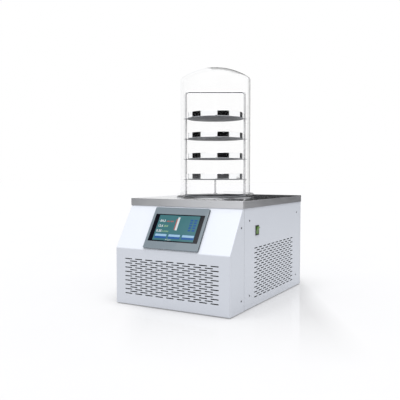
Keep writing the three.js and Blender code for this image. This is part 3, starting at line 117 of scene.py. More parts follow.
class Finish:
    """A material: its Principled shader and the nodes that feed it."""

    def __init__(self, name, **constants):
        self.material = bpy.data.materials.new(name)
        self.material.use_nodes = True
        self.tree = self.material.node_tree
        self.shader = self.tree.nodes["Principled BSDF"]
        for socket, value in constants.items():
            self.feed(self.shader, socket.replace("_", " "), value)

    def feed(self, node, socket, value):
        if isinstance(value, Field):
            self.tree.links.new(value.socket, node.inputs[socket])
        else:
            node.inputs[socket].default_value = value

    def node(self, kind, settings, sockets):
        made = self.tree.nodes.new(kind)
        for setting, value in settings.items():
            setattr(made, setting, value)
        for socket, value in sockets.items():
            self.feed(made, socket, value)
        return made

    def place(self, stretch=(1, 1, 1)):
        """Object coordinates, stretched along the axes."""
        where = Field(self, self.node("ShaderNodeTexCoord", {}, {}).outputs["Object"])
        return Field(self, self.node("ShaderNodeMapping", {}, {"Vector": where, "Scale": stretch}).outputs[0])

    def noise(self, scale, detail=2.0, stretch=(1, 1, 1)):
        sockets = {"Vector": self.place(stretch), "Scale": scale, "Detail": detail}
        return Field(self, self.node("ShaderNodeTexNoise", {}, sockets).outputs[0])

    def mix(self, share, first, second):
        """A colour between two others."""
        made = self.node("ShaderNodeMix", {"data_type": "RGBA"}, {0: share, 6: first, 7: second})
        return Field(self, made.outputs[2])

    def bump(self, height, distance, strength=1.0):
        made = self.node("ShaderNodeBump", {}, {"Height": height, "Distance": distance, "Strength": strength})
        return Field(self, made.outputs[0])


def srgb(red, green, blue):
    """A colour as painters' charts give it, 0 to 255, turned to light."""
    parts = [c / 255 for c in (red, green, blue)]
    return [c / 12.92 if c <= 0.04045 else ((c + 0.055) / 1.055) ** 2.4 for c in parts] + [1.0]


# %% [markdown]
# The studio is plain: a white room, a pale floor, and one wide lamp overhead, which makes the slanted
# front brighter than the upright panels. A thin clear coat on the floor, only round the case, gives the
# faint mirror image that a glossy table top shows under a catalogue object.
#
# Polished steel and clear plastic only show what they reflect, so dark boards stand in a wide ring outside
# the picture: tall ones to the left and right of the camera and behind the object, low ones that the
# deck's lip and the tray walls mirror, and a high one that the tilted screen mirrors. They are stage, seen
# only by glossy surfaces.

# %% Room, floor, lamp and reflecting boards
def verts_in(geometry):
    """The vertices in what a bmesh operator made."""
    return [part for part in geometry if isinstance(part, bmesh.types.BMVert)]


def edges_in(geometry):
    """The edges in what a bmesh operator made."""
    return [part for part in geometry if isinstance(part, bmesh.types.BMEdge)]


def stage_piece(name, bm, material):
    mesh = bpy.data.meshes.new(name)
    bm.to_mesh(mesh)
    bm.free()
    mesh.materials.append(material)
    made = bpy.data.objects.new(name, mesh)
    scene.collection.objects.link(made)
    return made


world = bpy.data.worlds.new("white_room")
world.use_nodes = True
world.node_tree.nodes["Background"].inputs["Color"].default_value = (1, 1, 1, 1)
world.node_tree.nodes["Background"].inputs["Strength"].default_value = 1.0
scene.world = world

floor_paint = Finish("pale_floor", Roughness=0.5, Specular_IOR_Level=0.0, Emission_Strength=0.22,
                     Emission_Color=srgb(254, 254, 255), Coat_Roughness=0.06, Coat_IOR=1.25)
floor_tone = floor_paint.noise(3.0)
floor_paint.feed(floor_paint.shader, "Base Color",
                 floor_paint.mix(floor_tone, srgb(161, 161, 162), srgb(163, 163, 164)))
spot = floor_paint.node("ShaderNodeSeparateXYZ", {}, {0: floor_paint.place()})
east, north = Field(floor_paint, spot.outputs[0]), Field(floor_paint, spot.outputs[1])
toward = (EYE - AIM).to_2d().normalized()
forward = east * toward.x + north * toward.y
sideways = north * toward.x - east * toward.y - 0.03
near = forward.ramp(0.85, 0.35)
behind = forward.ramp(-0.5, -0.3)
beside = sideways.with_math("ABSOLUTE", sideways, 0).ramp(0.35, 0.27)
floor_paint.feed(floor_paint.shader, "Coat Weight", near * behind * beside * 0.8)
floor_mesh = bmesh.new()
bmesh.ops.create_grid(floor_mesh, x_segments=1, y_segments=1, size=20)
floor = stage_piece("floor", floor_mesh, floor_paint.material)

lamp = bpy.data.objects.new("overhead_lamp", bpy.data.lights.new("overhead_lamp", "SUN"))
lamp.data.energy = 3.7
lamp.data.angle = math.radians(50)
lamp.rotation_euler = (math.radians(8), math.radians(3), 0)
scene.collection.objects.link(lamp)

dark_paint = Finish("dark_board", Roughness=1.0, Specular_IOR_Level=0.0)
height = Field(dark_paint, dark_paint.node("ShaderNodeSeparateXYZ", {}, {0: dark_paint.place()}).outputs[2])
dark_paint.feed(dark_paint.shader, "Base Color",
                dark_paint.mix(height.ramp(0.43, 0.56), srgb(72, 72, 74), srgb(12, 12, 13)))
black_paint = Finish("black_board", Roughness=1.0, Specular_IOR_Level=0.0, Base_Color=srgb(18, 18, 19))
BOARD_DISTANCE = 3.2
BOARDS = {  # first and last bearing in degrees from the front, bottom and top height, paint
    "left_board": (-82, -34, 0.26, 1.9, dark_paint),
    "right_board": (36, 86, 0.26, 1.9, dark_paint),
    "back_board": (152, 207, 0.26, 1.1, dark_paint),
    "high_back_board": (160, 211, 1.1, 3.6, dark_paint),
    "low_left_board": (-82, -28.5, 0.0, 0.25, black_paint),
    "low_back_board": (118, 178, 0.0, 0.25, dark_paint),
    "low_side_board": (126, 152, 0.26, 0.4, black_paint),
    "high_left_board": (-85, -44, 2.0, 5.5, black_paint),
}
for name, (first, last, bottom, top, paint) in BOARDS.items():
    bm = bmesh.new()
    foot = bm.verts.new(Matrix.Rotation(math.radians(first), 3, "Z") @ Vector((0, -BOARD_DISTANCE, bottom)))
    sweep = math.radians(last - first)
    bmesh.ops.spin(bm, geom=[foot], cent=(0, 0, 0), axis=(0, 0, 1), angle=sweep, steps=12)
    raised = bmesh.ops.extrude_edge_only(bm, edges=bm.edges[:])["geom"]
    bmesh.ops.translate(bm, vec=(0, 0, top - bottom), verts=verts_in(raised))
    board = stage_piece(name, bm, paint.material)
    board.visible_camera = board.visible_diffuse = board.visible_shadow = False
print("boards", sorted(BOARDS))

# %% [markdown]
# Nearly every finish needs the same three things: a colour that drifts a little, a roughness that
# drifts with it, and a fine grain in the bump. One function makes them all, with the grain's size
# and its stretch as the difference: orange peel on powder coat, long hairlines on brushed steel, soft
# clouds on rubber.

# %% Finishes
def surface(name, colour, roughness, metallic=0.0, tone=0.06, patch=9.0, gloss=0.08, grain=700.0,
            depth=0.00002, stretch=(1, 1, 1), **constants):
    """A finish whose colour and gloss drift in patches and whose bump has a fine grain."""
    finish = Finish(name, Metallic=metallic, **constants)
    cloud = finish.noise(patch, 3.0)
    fine = finish.noise(grain, 2.0, stretch)
    light = [min(1.0, c * (1 + tone)) for c in colour[:3]] + [1.0]
    dark = [c * (1 - tone) for c in colour[:3]] + [1.0]
    finish.feed(finish.shader, "Base Color", finish.mix(cloud, dark, light))
    finish.feed(finish.shader, "Roughness", cloud * gloss + fine * gloss + (roughness - gloss))
    finish.feed(finish.shader, "Normal", finish.bump(fine, depth))
    return finish.material


ACROSS = (0.02, 1, 1)
UPRIGHT = (1, 1, 0.02)
finishes = {
    "white_paint": surface("powder_coat", srgb(190, 194, 202), 0.42, tone=0.015, gloss=0.05, grain=900,
                           depth=0.00004),
    "stainless": surface("polished_steel", srgb(251, 252, 253), 0.08, 1.0, tone=0.01, gloss=0.03, grain=1500,
                         depth=0.000004, stretch=ACROSS),
    "deck_steel": surface("deck_steel", srgb(205, 206, 209), 0.2, 1.0, tone=0.05, gloss=0.06, grain=1800,
                          depth=0.00001, stretch=ACROSS),
    "brushed": surface("brushed_steel", srgb(205, 206, 209), 0.3, 1.0, tone=0.05, gloss=0.08, grain=1800,
                       depth=0.00002, stretch=ACROSS),
    "rack_steel": surface("rack_steel", srgb(243, 243, 245), 0.24, 1.0, tone=0.04, gloss=0.05, grain=1500,
                          depth=0.000004),
    # Dark grey, darker than steel: painted shade on the undersides of the shelves and of the hoop's top bar;
    # the rack's foot takes it too.
    "shelf_steel_and_shade": surface("satin_steel_with_painted_shade", srgb(108, 110, 114), 0.5, 0.1, tone=0.08, gloss=0.06, grain=1200,
                           depth=0.00001, stretch=ACROSS, Specular_IOR_Level=0.1),
    # Satin finish for the inside of the trays, in a darker tone that is painted shade.
    "tray_inside_and_shade": surface("satin_tray_with_painted_shade", srgb(162, 163, 165), 0.34, 1.0, tone=0.05, gloss=0.08, grain=1200,
                           depth=0.00001, stretch=ACROSS),
    # Near-black: primer on the inner faces of the sheets, and painted shade on the slot walls so the slots
    # read dark.
    "primer_and_slot_shade": surface("dark_primer_and_slot_shade", srgb(16, 16, 17), 0.8, tone=0.1),
    "trap_steel": surface("trap_steel", srgb(92, 94, 97), 0.38, 1.0, tone=0.1, gloss=0.1, grain=1000,
                          depth=0.00002, stretch=UPRIGHT),
    "galvanised": surface("galvanised_steel", srgb(176, 180, 184), 0.42, 1.0, tone=0.12, patch=60,
                          gloss=0.15),
    "black_steel": surface("black_enamel", srgb(28, 29, 31), 0.4, 0.0, gloss=0.1, Coat_Weight=0.4),
    "rubber": surface("rubber", srgb(30, 30, 31), 0.75, tone=0.15, grain=500, depth=0.00006),
    "foam": surface("foam_jacket", srgb(96, 98, 100), 0.95, tone=0.1, patch=40, grain=300, depth=0.0006),
    "copper": surface("copper_tube", srgb(196, 128, 92), 0.3, 1.0, tone=0.15, patch=30, gloss=0.12),
    "aluminium": surface("aluminium", srgb(188, 190, 193), 0.35, 1.0, gloss=0.1, grain=1200, stretch=UPRIGHT),
    "grey_plastic": surface("grey_bezel", srgb(104, 114, 121), 0.25, tone=0.02, gloss=0.04, grain=1400,
                            depth=0.00002, Coat_Weight=0.6),
    # Darker grey for the left and right ends of the bezel: painted shade.
    "painted_shade_bezel_side": surface("dark_painted_shade_bezel_side", srgb(58, 66, 72), 0.4, tone=0.02, grain=1400, depth=0.00003),
    "black_plastic": surface("black_plastic", srgb(15, 15, 17), 0.38, gloss=0.1, grain=1100, depth=0.00004),
    "green_plastic": surface("green_rocker", srgb(74, 106, 44), 0.25, tone=0.2, patch=90,
                             Emission_Color=srgb(88, 150, 40), Emission_Strength=0.08, Coat_Weight=0.1,
                             Specular_IOR_Level=0.2),
    "board": surface("circuit_board", srgb(24, 84, 58), 0.45, tone=0.25, patch=90, gloss=0.12),
    "brass": surface("brass", srgb(200, 168, 102), 0.28, 1.0, tone=0.08, patch=40, gloss=0.1),
    "silicone": surface("silicone_tube", srgb(214, 216, 214), 0.45, tone=0.05),
    "screen_glass": surface("screen_glass", srgb(12, 13, 20), 0.1, tone=0.1, gloss=0.03, grain=400,
                            depth=0.000002, Specular_IOR_Level=0.6),
    "screw": surface("dark_screw", srgb(62, 63, 66), 0.35, 0.8, gloss=0.1),
}
print("finishes", len(finishes))

# %% [markdown]
# Clear acrylic is nearly all what is behind it. Only at a slanting angle does it turn into a mirror, so the
# angle of each face mixes a clear shader with a glossy one. Light that comes from inside the wall mirrors
# less, and the lining of the jar hardly does. The jar then shows as the thin grey lines of its wall and
# dome, with no bending of the view and no dark shadow under it.

# %% Clear acrylic
def clear_plastic(name, mirror):
    """A see-through finish that mirrors at a slant, most of all where light comes from outside."""
    finish = Finish(name)
    finish.tree.nodes.remove(finish.shader)
    clear = finish.node("ShaderNodeBsdfTransparent", {}, {"Color": srgb(255, 255, 255)})
    haze = finish.noise(14.0)
    sheen = finish.node("ShaderNodeBsdfGlossy", {}, {"Color": srgb(250, 251, 252),
                                                     "Roughness": haze * 0.03 + 0.01})
    slant = Field(finish, finish.node("ShaderNodeLayerWeight", {}, {"Blend": 0.5}).outputs["Facing"])
    inside = Field(finish, finish.node("ShaderNodeNewGeometry", {}, {}).outputs["Backfacing"])
    share = slant.power(5.0) * mirror * (1 - inside * 0.8) + 0.006
    wall = finish.node("ShaderNodeMixShader", {}, {0: share, 1: Field(finish, clear.outputs[0]),
                                                   2: Field(finish, sheen.outputs[0])})
    finish.feed(finish.tree.nodes["Material Output"], "Surface", Field(finish, wall.outputs[0]))
    return finish.material


finishes["acrylic"] = clear_plastic("clear_acrylic", 1.2)
finishes["acrylic_lining"] = clear_plastic("clear_acrylic_lining", 0.12)
print("clear finishes", 2)

# %% [markdown]
# Each CAD node takes the finish of its slot in the imported record, so nothing is left with a flat colour,
# except the condenser: it gets black enamel in place of aluminium, as painted shade behind the front slots.
# Nodes that a new piece replaces later are hidden then.

# %% Dress the CAD nodes
slot_of_node = {part["node"]: part["material_slot"] for part in frame["record"]["subparts"]}
for name, node in frame["nodes"].items():
    node.data.materials.clear()
    # The condenser's black enamel is painted shade, so the slots in front of it read dark.
    node.data.materials.append(finishes["black_steel" if name == "condenser" else slot_of_node[name]])
print("dressed", len(frame["nodes"]), "nodes in", len(set(slot_of_node.values())), "finishes")

# %% [markdown]
# A few helpers shape every piece: a box between two corners, a bevel that rounds chosen edges, a lathe that
# spins an outline about an axis, a bar swept round its bends, and booleans that join or pierce. A finished
# piece gets its doubles merged and its faces turned outwards, and then rides on its CAD body. Some pieces
# have a second finish on the faces that pass a test, such as the near-black finish inside the slots: primer
# on the inner face of the sheet, and painted shade on the slot walls, so that the slots read dark.

# %% Helpers for shapes
def slab(bm, low, high):
    """A box between two corners."""
    low, high = Vector(low), Vector(high)
    corners = bmesh.ops.create_cube(bm, size=1.0)["verts"]
    bmesh.ops.scale(bm, vec=high - low, verts=corners)
    bmesh.ops.translate(bm, vec=(low + high) / 2, verts=corners)
    return corners


def drum(bm, radius, depth, middle, along_y=False, segments=32):
    """A closed cylinder about its middle, upright or along Y."""
    turned = Matrix.Translation(middle) @ Matrix.Rotation(math.pi / 2 if along_y else 0, 4, "X")
    return bmesh.ops.create_cone(bm, cap_ends=True, segments=segments, radius1=radius, radius2=radius,
                                 depth=depth, matrix=turned)["verts"]


def edges_at(verts):
    """Every edge that meets these corners, once each and always in the same order."""
    return list(dict.fromkeys(edge for vert in verts for edge in vert.link_edges))


def edges_along(verts, axis):
    """The edges between these corners that run along axis 0, 1 or 2."""
    return [e for e in edges_at(verts) if abs((e.verts[1].co - e.verts[0].co).normalized()[axis]) > 0.999]


def round_over(bm, edges, radius, segments=3):
    return bmesh.ops.bevel(bm, geom=edges, offset=radius, offset_type="OFFSET", segments=segments,
                           profile=0.5, affect="EDGES", material=-1, clamp_overlap=True)


def soft_slab(bm, low, high, upright_axis, corner, edge, segments=3):
    """A box with its four corners along one axis rounded, then every sharp edge eased."""
    before = set(bm.edges)
    corners = slab(bm, low, high)
    round_over(bm, edges_along(corners, upright_axis), corner, segments)
    if edge:
        sharp = [e for e in bm.edges if e not in before and e.calc_face_angle(0) > math.radians(60)]
        round_over(bm, sharp, edge, 2)


def lathe(bm, outline, centre=(0, 0, 0), axis="Z", steps=64):
    """An outline of (radius, height) corners spun round an axis through a centre."""
    centre = Vector(centre)
    along = Vector((0, 0, 1)) if axis == "Z" else Vector((0, 1, 0))
    verts = [bm.verts.new(centre + Vector((r, 0, 0)) + along * h) for r, h in outline]
    edges = [bm.edges.new(pair) for pair in zip(verts, verts[1:])]
    bmesh.ops.spin(bm, geom=verts + edges, cent=centre, axis=along, angle=math.tau, steps=steps,
                   use_merge=True)


def arc(centre, radius, first, last, steps):
    """Corners of an outline round part of a circle, angles in degrees."""
    turns = [math.radians(first + (last - first) * i / steps) for i in range(steps + 1)]
    return [(centre[0] + radius * math.cos(t), centre[1] + radius * math.sin(t)) for t in turns]


def ring_outline(inner, outer, bottom, top, edge):
    """The section of a flat ring with its four edges eased."""
    outline = []
    for corner, start in (((outer - edge, bottom + edge), -90), ((outer - edge, top - edge), 0),
                          ((inner + edge, top - edge), 90), ((inner + edge, bottom + edge), 180)):
        outline += arc(corner, edge, start, start + 90, 3)
    return outline + outline[:1]


def rod(bm, corners, radius, bend=0.0, facets=20, bend_steps=6):
    """A round bar through corner points: a circle pushed along each run and spun round each bend."""
    corners = [Vector(corner) for corner in corners]
    heading = (corners[1] - corners[0]).normalized()
    turned = Matrix.Translation(corners[0]) @ heading.to_track_quat("Z", "Y").to_matrix().to_4x4()
    ring = bmesh.ops.create_circle(bm, segments=facets, radius=radius, matrix=turned)["verts"]
    edges = edges_at(ring)
    bmesh.ops.contextual_create(bm, geom=edges)
    place = corners[0]
    for i, corner in enumerate(corners[1:], 1):
        onward = (corners[i + 1] - corner).normalized() if i + 1 < len(corners) else heading
        angle = heading.angle(onward)
        stop = corner - heading * bend * math.tan(angle / 2)
        raised = bmesh.ops.extrude_edge_only(bm, edges=edges)["geom"]
        ring = verts_in(raised)
        edges = [edge for edge in edges_in(raised) if set(edge.verts) <= set(ring)]
        bmesh.ops.translate(bm, vec=stop - place, verts=ring)
        place = stop
        if angle > 0.01:
            axis = heading.cross(onward).normalized()
            pivot = place + axis.cross(heading) * bend
            spun = bmesh.ops.spin(bm, geom=ring + edges, cent=pivot, axis=axis, angle=angle, steps=bend_steps)
            ring, edges = verts_in(spun["geom_last"]), edges_in(spun["geom_last"])
            place = pivot + Matrix.Rotation(angle, 3, axis) @ (place - pivot)
        heading = onward
    bmesh.ops.contextual_create(bm, geom=edges)


def mesh_of(name, bm):
    mesh = bpy.data.meshes.new(name)
    bm.to_mesh(mesh)
    bm.free()
    return mesh


def combine(bm, other, operation, wall=0.0):
    """One mesh joined with or cut by another, after a wall thickness if one is given."""
    bmesh.ops.recalc_face_normals(other, faces=other.faces)
    body = bpy.data.objects.new("body", mesh_of("body", bm))
    tool = bpy.data.objects.new("tool", mesh_of("tool", other))
    scene.collection.objects.link(body)
    scene.collection.objects.link(tool)
    if wall:
        thick = body.modifiers.new("wall", "SOLIDIFY")
        thick.thickness, thick.offset, thick.use_even_offset = wall, -1, True
    blend = body.modifiers.new("blend", "BOOLEAN")
    blend.operation, blend.solver, blend.object = operation, "EXACT", tool
    result = bmesh.new()
    result.from_object(body, bpy.context.evaluated_depsgraph_get())
    bpy.data.objects.remove(body)
    bpy.data.objects.remove(tool)
    return result


def piece(name, bm, finish, nodes, body="cabinet", sharp=32):
    """Turns a bmesh into a finished piece that stands for CAD nodes and rides on their body."""
    bmesh.ops.remove_doubles(bm, verts=bm.verts, dist=1e-6)
    bmesh.ops.recalc_face_normals(bm, faces=bm.faces)
    mesh = mesh_of(name, bm)
    mesh.materials.append(finishes[finish])
    mesh.shade_smooth()
    mesh.set_sharp_from_angle(angle=math.radians(sharp))
    made = bpy.data.objects.new(name, mesh)
    scene.collection.objects.link(made)
    flat = made.modifiers.new("flat_faces", "WEIGHTED_NORMAL")
    flat.keep_sharp = True
    if nodes:
        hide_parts(*nodes)
    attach(made, body)
    print(name, len(mesh.polygons), "faces, stands for", nodes)
    return made


def second_finish(made, finish, chosen):
    """Another finish on the faces of a piece whose middle and normal pass a test."""
    made.data.materials.append(finishes[finish])
    for face in made.data.polygons:
        if chosen(face.center, face.normal):
            face.material_index = 1


# %% [markdown]
# The slots of the case are punched in staggered rows, with round ends. One cutter is a flat circle
# whose halves are pulled apart and which is then given depth. Every slot gets a copy, and one boolean
# punches them all.

# %% Slot cutters
SHEET = 0.0015
SLOT_TALL = 0.0036


def staggered(per_row, rows, first, last, bottom, top):
    """Slot middles: full rows between rows that hold one slot fewer."""
    pitch = (last - first) / (per_row - 1)
    places = []
    for row in range(rows):
        fewer = row % 2
        for i in range(per_row - fewer):
            places.append((first + pitch * (i + fewer / 2), bottom + (top - bottom) * row / (rows - 1)))
    return places


def slot_cutters(places, length, facing):
    """Long-round cutters at places in a plane that a matrix turns into the case."""
    bm = bmesh.new()
    pull = (length - SLOT_TALL) / 2
    ease = Matrix.Rotation(math.radians(15), 4, "Z")
    for across, up in places:
        flat = bmesh.ops.create_circle(bm, cap_ends=True, segments=12, radius=SLOT_TALL / 2, matrix=ease)
        for vert in flat["verts"]:
            vert.co.x += pull if vert.co.x > 0 else -pull
        bmesh.ops.translate(bm, vec=(across, up, -4 * SHEET), verts=flat["verts"])
    raised = bmesh.ops.extrude_face_region(bm, geom=bm.faces[:])["geom"]
    bmesh.ops.translate(bm, vec=(0, 0, 8 * SHEET), verts=verts_in(raised))
    bmesh.ops.transform(bm, matrix=facing, verts=bm.verts)
    return bm


# %% [markdown]
# The front cover is one sheet, folded: an upright face with the slots, a slanted face for the screen, a
# short flange under the deck, two side returns and a turned-in foot. The outline of its side is one face,
# pushed across the case; the open faces go, the folds get the bend radius that a press leaves, and
# Solidify gives the sheet its thickness inwards.

# %% Folded front cover
low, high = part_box("front_cover")
FOLD = 0.199
SLANT_RUN = 0.0937
LIP_DEPTH = 0.026
FLANGE = 0.012
PRESS_BEND = 0.0022
GLASS_WIDE, GLASS_BOTTOM, GLASS_TOP = 0.1966, 0.0322, 0.1378
deck_low, deck_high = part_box("top_plate")
FRONT = low.y
slant_top = deck_high.z - LIP_DEPTH
slant_angle = math.atan2(slant_top - FOLD, SLANT_RUN)
slope = Matrix.Translation((0, FRONT, FOLD)) @ Matrix.Rotation(slant_angle, 4, "X")

bm = bmesh.new()
side = [(FRONT, low.z), (high.y, low.z), (high.y, high.z), (FRONT + SLANT_RUN, high.z),
        (FRONT + SLANT_RUN, slant_top), (FRONT, FOLD)]
outline = bm.faces.new([bm.verts.new((low.x, y, z)) for y, z in side])
raised = bmesh.ops.extrude_face_region(bm, geom=[outline])["geom"]
bmesh.ops.translate(bm, vec=(high.x - low.x, 0, 0), verts=verts_in(raised))
bmesh.ops.recalc_face_normals(bm, faces=bm.faces)
open_faces = [f for f in bm.faces if f.normal.y > 0.99 or f.normal.z < -0.99]
bmesh.ops.delete(bm, geom=open_faces, context="FACES_ONLY")
front_foot = Vector((0, FRONT, low.z))
foot_edge = [e for e in bm.edges if all((v.co - front_foot).yz.length < 1e-6 for v in e.verts)]
raised = bmesh.ops.extrude_edge_only(bm, edges=foot_edge)["geom"]
bmesh.ops.translate(bm, vec=(0, FLANGE, 0), verts=verts_in(raised))
bmesh.ops.recalc_face_normals(bm, faces=bm.faces)
folds = [e for e in bm.edges if len(e.link_faces) == 2 and e.calc_face_angle(0) > math.radians(15)]
round_over(bm, folds, PRESS_BEND, 4)

places = staggered(per_row=9, rows=17, first=-0.1705, last=0.1705, bottom=0.0416, top=0.163)
to_front = Matrix.Translation((0, FRONT, 0)) @ Matrix.Rotation(math.pi / 2, 4, "X")
vent = slot_cutters(places, 0.03, to_front)
opening = bmesh.new()
slab(opening, (-GLASS_WIDE / 2, GLASS_BOTTOM, -0.02), (GLASS_WIDE / 2, GLASS_TOP, 0.02))
bmesh.ops.transform(opening, matrix=slope, verts=opening.verts)
cover = combine(combine(bm, vent, "DIFFERENCE", wall=SHEET), opening, "DIFFERENCE")
cover = piece("folded_front_cover", cover, "white_paint", ["front_cover"])
# The slot walls and the inner face of the sheet get the near-black finish: primer behind, painted shade in
# the slots.
second_finish(cover, "primer_and_slot_shade", lambda middle, normal: abs(middle.x) < 0.19 and middle.y > FRONT + 0.0002
              and 0.03 < middle.z < 0.18)

# %% [markdown]
# The side panels are shallow trays of the same sheet: a box with its inner face taken away, its outer
# edges bent over a small radius, and a wall thickness. The right one has the second slot field and the
# hole for the power switch.

# %% Side panels
def side_tray(node, outward):
    low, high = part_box(node)
    bm = bmesh.new()
    slab(bm, low, high)
    bmesh.ops.recalc_face_normals(bm, faces=bm.faces)
    bmesh.ops.delete(bm, geom=[f for f in bm.faces if f.normal.x * outward < -0.99], context="FACES_ONLY")
    round_over(bm, [e for e in bm.edges if len(e.link_faces) == 2], 0.0016, 3)
    return bm


right_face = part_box("side_panel_right")[1].x
places = staggered(per_row=10, rows=21, first=-0.1438, last=0.2008, bottom=0.0345, top=0.204)
to_side = Matrix.Translation((right_face, 0, 0)) @ Matrix.Rotation(math.pi / 2, 4, "Z")
vent = slot_cutters(places, 0.0264, to_side @ Matrix.Rotation(math.pi / 2, 4, "X"))
frame_low, frame_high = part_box("switch_frame")
rim = Vector((-0.01, 0.0017, 0.0015))
hole = bmesh.new()
slab(hole, Vector((right_face, *frame_low.yz)) + rim, Vector((right_face, *frame_high.yz)) - rim)
panel = combine(combine(side_tray("side_panel_right", 1), vent, "DIFFERENCE", wall=SHEET), hole, "DIFFERENCE")
panel = piece("vented_side_panel", panel, "white_paint", ["side_panel_right"])
# The slot walls and the inner face of the panel get the near-black finish: primer behind, painted shade in
# the slots.
second_finish(panel, "primer_and_slot_shade", lambda middle, normal: middle.x < right_face - 0.0002
              and 0.03 < middle.z < 0.21)
plain = side_tray("side_panel_left", -1)
bmesh.ops.solidify(plain, geom=plain.faces[:], thickness=SHEET)
piece("plain_side_panel", plain, "white_paint", ["side_panel_left"])

# %% [markdown]
# The deck is a stainless tray turned upside down over the case, with a lip all round and a round mouth for
# the trap. Its top edges and corners are bent and polished over about two millimetres.

# %% Deck
axis_low, axis_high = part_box("bell_jar")
AXIS = Vector(((axis_low.x + axis_high.x) / 2, (axis_low.y + axis_high.y) / 2, 0))
bm = bmesh.new()
corners = slab(bm, deck_low, deck_high)
bmesh.ops.recalc_face_normals(bm, faces=bm.faces)
bmesh.ops.delete(bm, geom=[f for f in bm.faces if f.normal.z < -0.99], context="FACES_ONLY")
round_over(bm, [e for e in bm.edges if len(e.link_faces) == 2], PRESS_BEND, 4)
MOUTH = 0.1071
mouth = bmesh.new()
drum(mouth, MOUTH, 0.1, AXIS + Vector((0, 0, deck_high.z)), segments=96)
deck = piece("steel_deck", combine(bm, mouth, "DIFFERENCE", wall=SHEET), "brushed", ["top_plate"])
second_finish(deck, "deck_steel", lambda middle, normal: normal.z > 0.5)

# %% [markdown]
# The trap is a drawn steel well with a rolled rim. Round it lie a welded sealing flange and the rubber seal
# that the jar stands on. All three are outlines spun on the chamber's axis; the well is then pierced for
# the vacuum pipe.

# %% Trap, sealing flange and seal
trap_low, trap_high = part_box("cold_trap")
TRAP_WALL = 0.0015
TRAP_KNEE = 0.012
PORT_HEIGHT = 0.325
PORT_BORE = 0.012
outer = (trap_high.x - trap_low.x) / 2
inner = outer - TRAP_WALL
roll = TRAP_WALL / 2
outer_knee = TRAP_KNEE + TRAP_WALL
rim = arc((outer - roll, trap_high.z - roll), roll, 0, 180, 6)
knee = arc((inner - TRAP_KNEE, trap_low.z + outer_knee), TRAP_KNEE, 0, -90, 6)
foot = arc((outer - outer_knee, trap_low.z + outer_knee), outer_knee, -90, 0, 6)
bm = bmesh.new()
lathe(bm, [(0, trap_low.z), *foot, *rim, *knee, (0, trap_low.z + TRAP_WALL)], AXIS, steps=96)
bore = bmesh.new()
drum(bore, PORT_BORE, 0.04, AXIS + Vector((0, outer, PORT_HEIGHT)), along_y=True)
piece("trap_well", combine(bm, bore, "DIFFERENCE"), "trap_steel", ["cold_trap"])


def ring(node, inner, edge, steps=96):
    """A flat ring in the place of a CAD node, with its edges eased."""
    low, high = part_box(node)
    bm = bmesh.new()
    lathe(bm, ring_outline(inner, (high.x - low.x) / 2, low.z, high.z, edge), AXIS, steps=steps)
    return bm


piece("sealing_flange", ring("seal_flange", 0.1068, 0.0006), "brushed", ["seal_flange"])
piece("rubber_seal", ring("bell_seal", 0.129, 0.0006), "rubber", ["bell_seal"])

# %% [markdown]
# The jar is an acrylic tube with a dished end, about nine millimetres thick, and a ring bonded round its
# foot. The outline goes up the outside, over a small knuckle and a wide crown, and back down the inside.
# The ends of both arcs come from where the knuckle's circle touches the crown's.

# %% Bell jar
def dished_end(radius, crown, knuckle, apex, steps=14):
    centre = apex - crown
    lift = math.sqrt((crown - knuckle) ** 2 - (radius - knuckle) ** 2)
    meet = math.degrees(math.acos((radius - knuckle) / (crown - knuckle)))
    bend = arc((radius - knuckle, centre + lift), knuckle, 0, meet, 6)
    return bend + arc((0, centre), crown, meet, 90, steps)[1:]


bell_low, bell_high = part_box("bell_jar")
radius = (bell_high.x - bell_low.x) / 2
WALL = 0.009
CROWN = 0.235
KNUCKLE = 0.012
shell = dished_end(radius, CROWN, KNUCKLE, bell_high.z)
lining = dished_end(radius - WALL, CROWN - WALL, KNUCKLE - WALL, bell_high.z - WALL)
inner_foot = (radius - WALL, bell_low.z)
bm = bmesh.new()
lathe(bm, [inner_foot, (radius, bell_low.z), *shell, *lining[::-1], inner_foot], AXIS, steps=128)
bell = piece("bell_shell", bm, "acrylic", ["bell_jar"])
heart = AXIS + Vector((0, 0, 0.6))
second_finish(bell, "acrylic_lining", lambda middle, normal: (middle - heart).dot(normal) < 0)
piece("bell_foot_ring", ring("bell_flange", 0.1323, 0.001, 128), "acrylic", ["bell_flange"])

# %% [markdown]
# The rack is a frame of round bar bent into a tall hoop, standing on a ring with a cross bar. Its
# plane is turned thirty degrees from the front. It is built square on and then turned about the axis.

# %% Rack frame, base and centre rod
RACK_TURN = Matrix.Translation(AXIS) @ Matrix.Rotation(math.radians(30), 4, "Z")
SPREAD = 0.112
frame_low, frame_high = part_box("rack_frame")
POST = 0.004
HOOP_BEND = 0.012
rail = frame_high.z - POST


def turned_rack(bm):
    bmesh.ops.transform(bm, matrix=RACK_TURN, verts=bm.verts)
    return bm


bm = bmesh.new()
rod(bm, [(-SPREAD, 0, frame_low.z), (-SPREAD, 0, rail), (SPREAD, 0, rail), (SPREAD, 0, frame_low.z)], POST,
    HOOP_BEND)
hoop = piece("rack_hoop", turned_rack(bm), "rack_steel", ["rack_frame"])
# The underside of the hoop's top bar takes the darker shelf finish: painted shade under the bar.
second_finish(hoop, "shelf_steel_and_shade", lambda middle, normal: normal.z < -0.45 and middle.z > rail - 2 * POST)

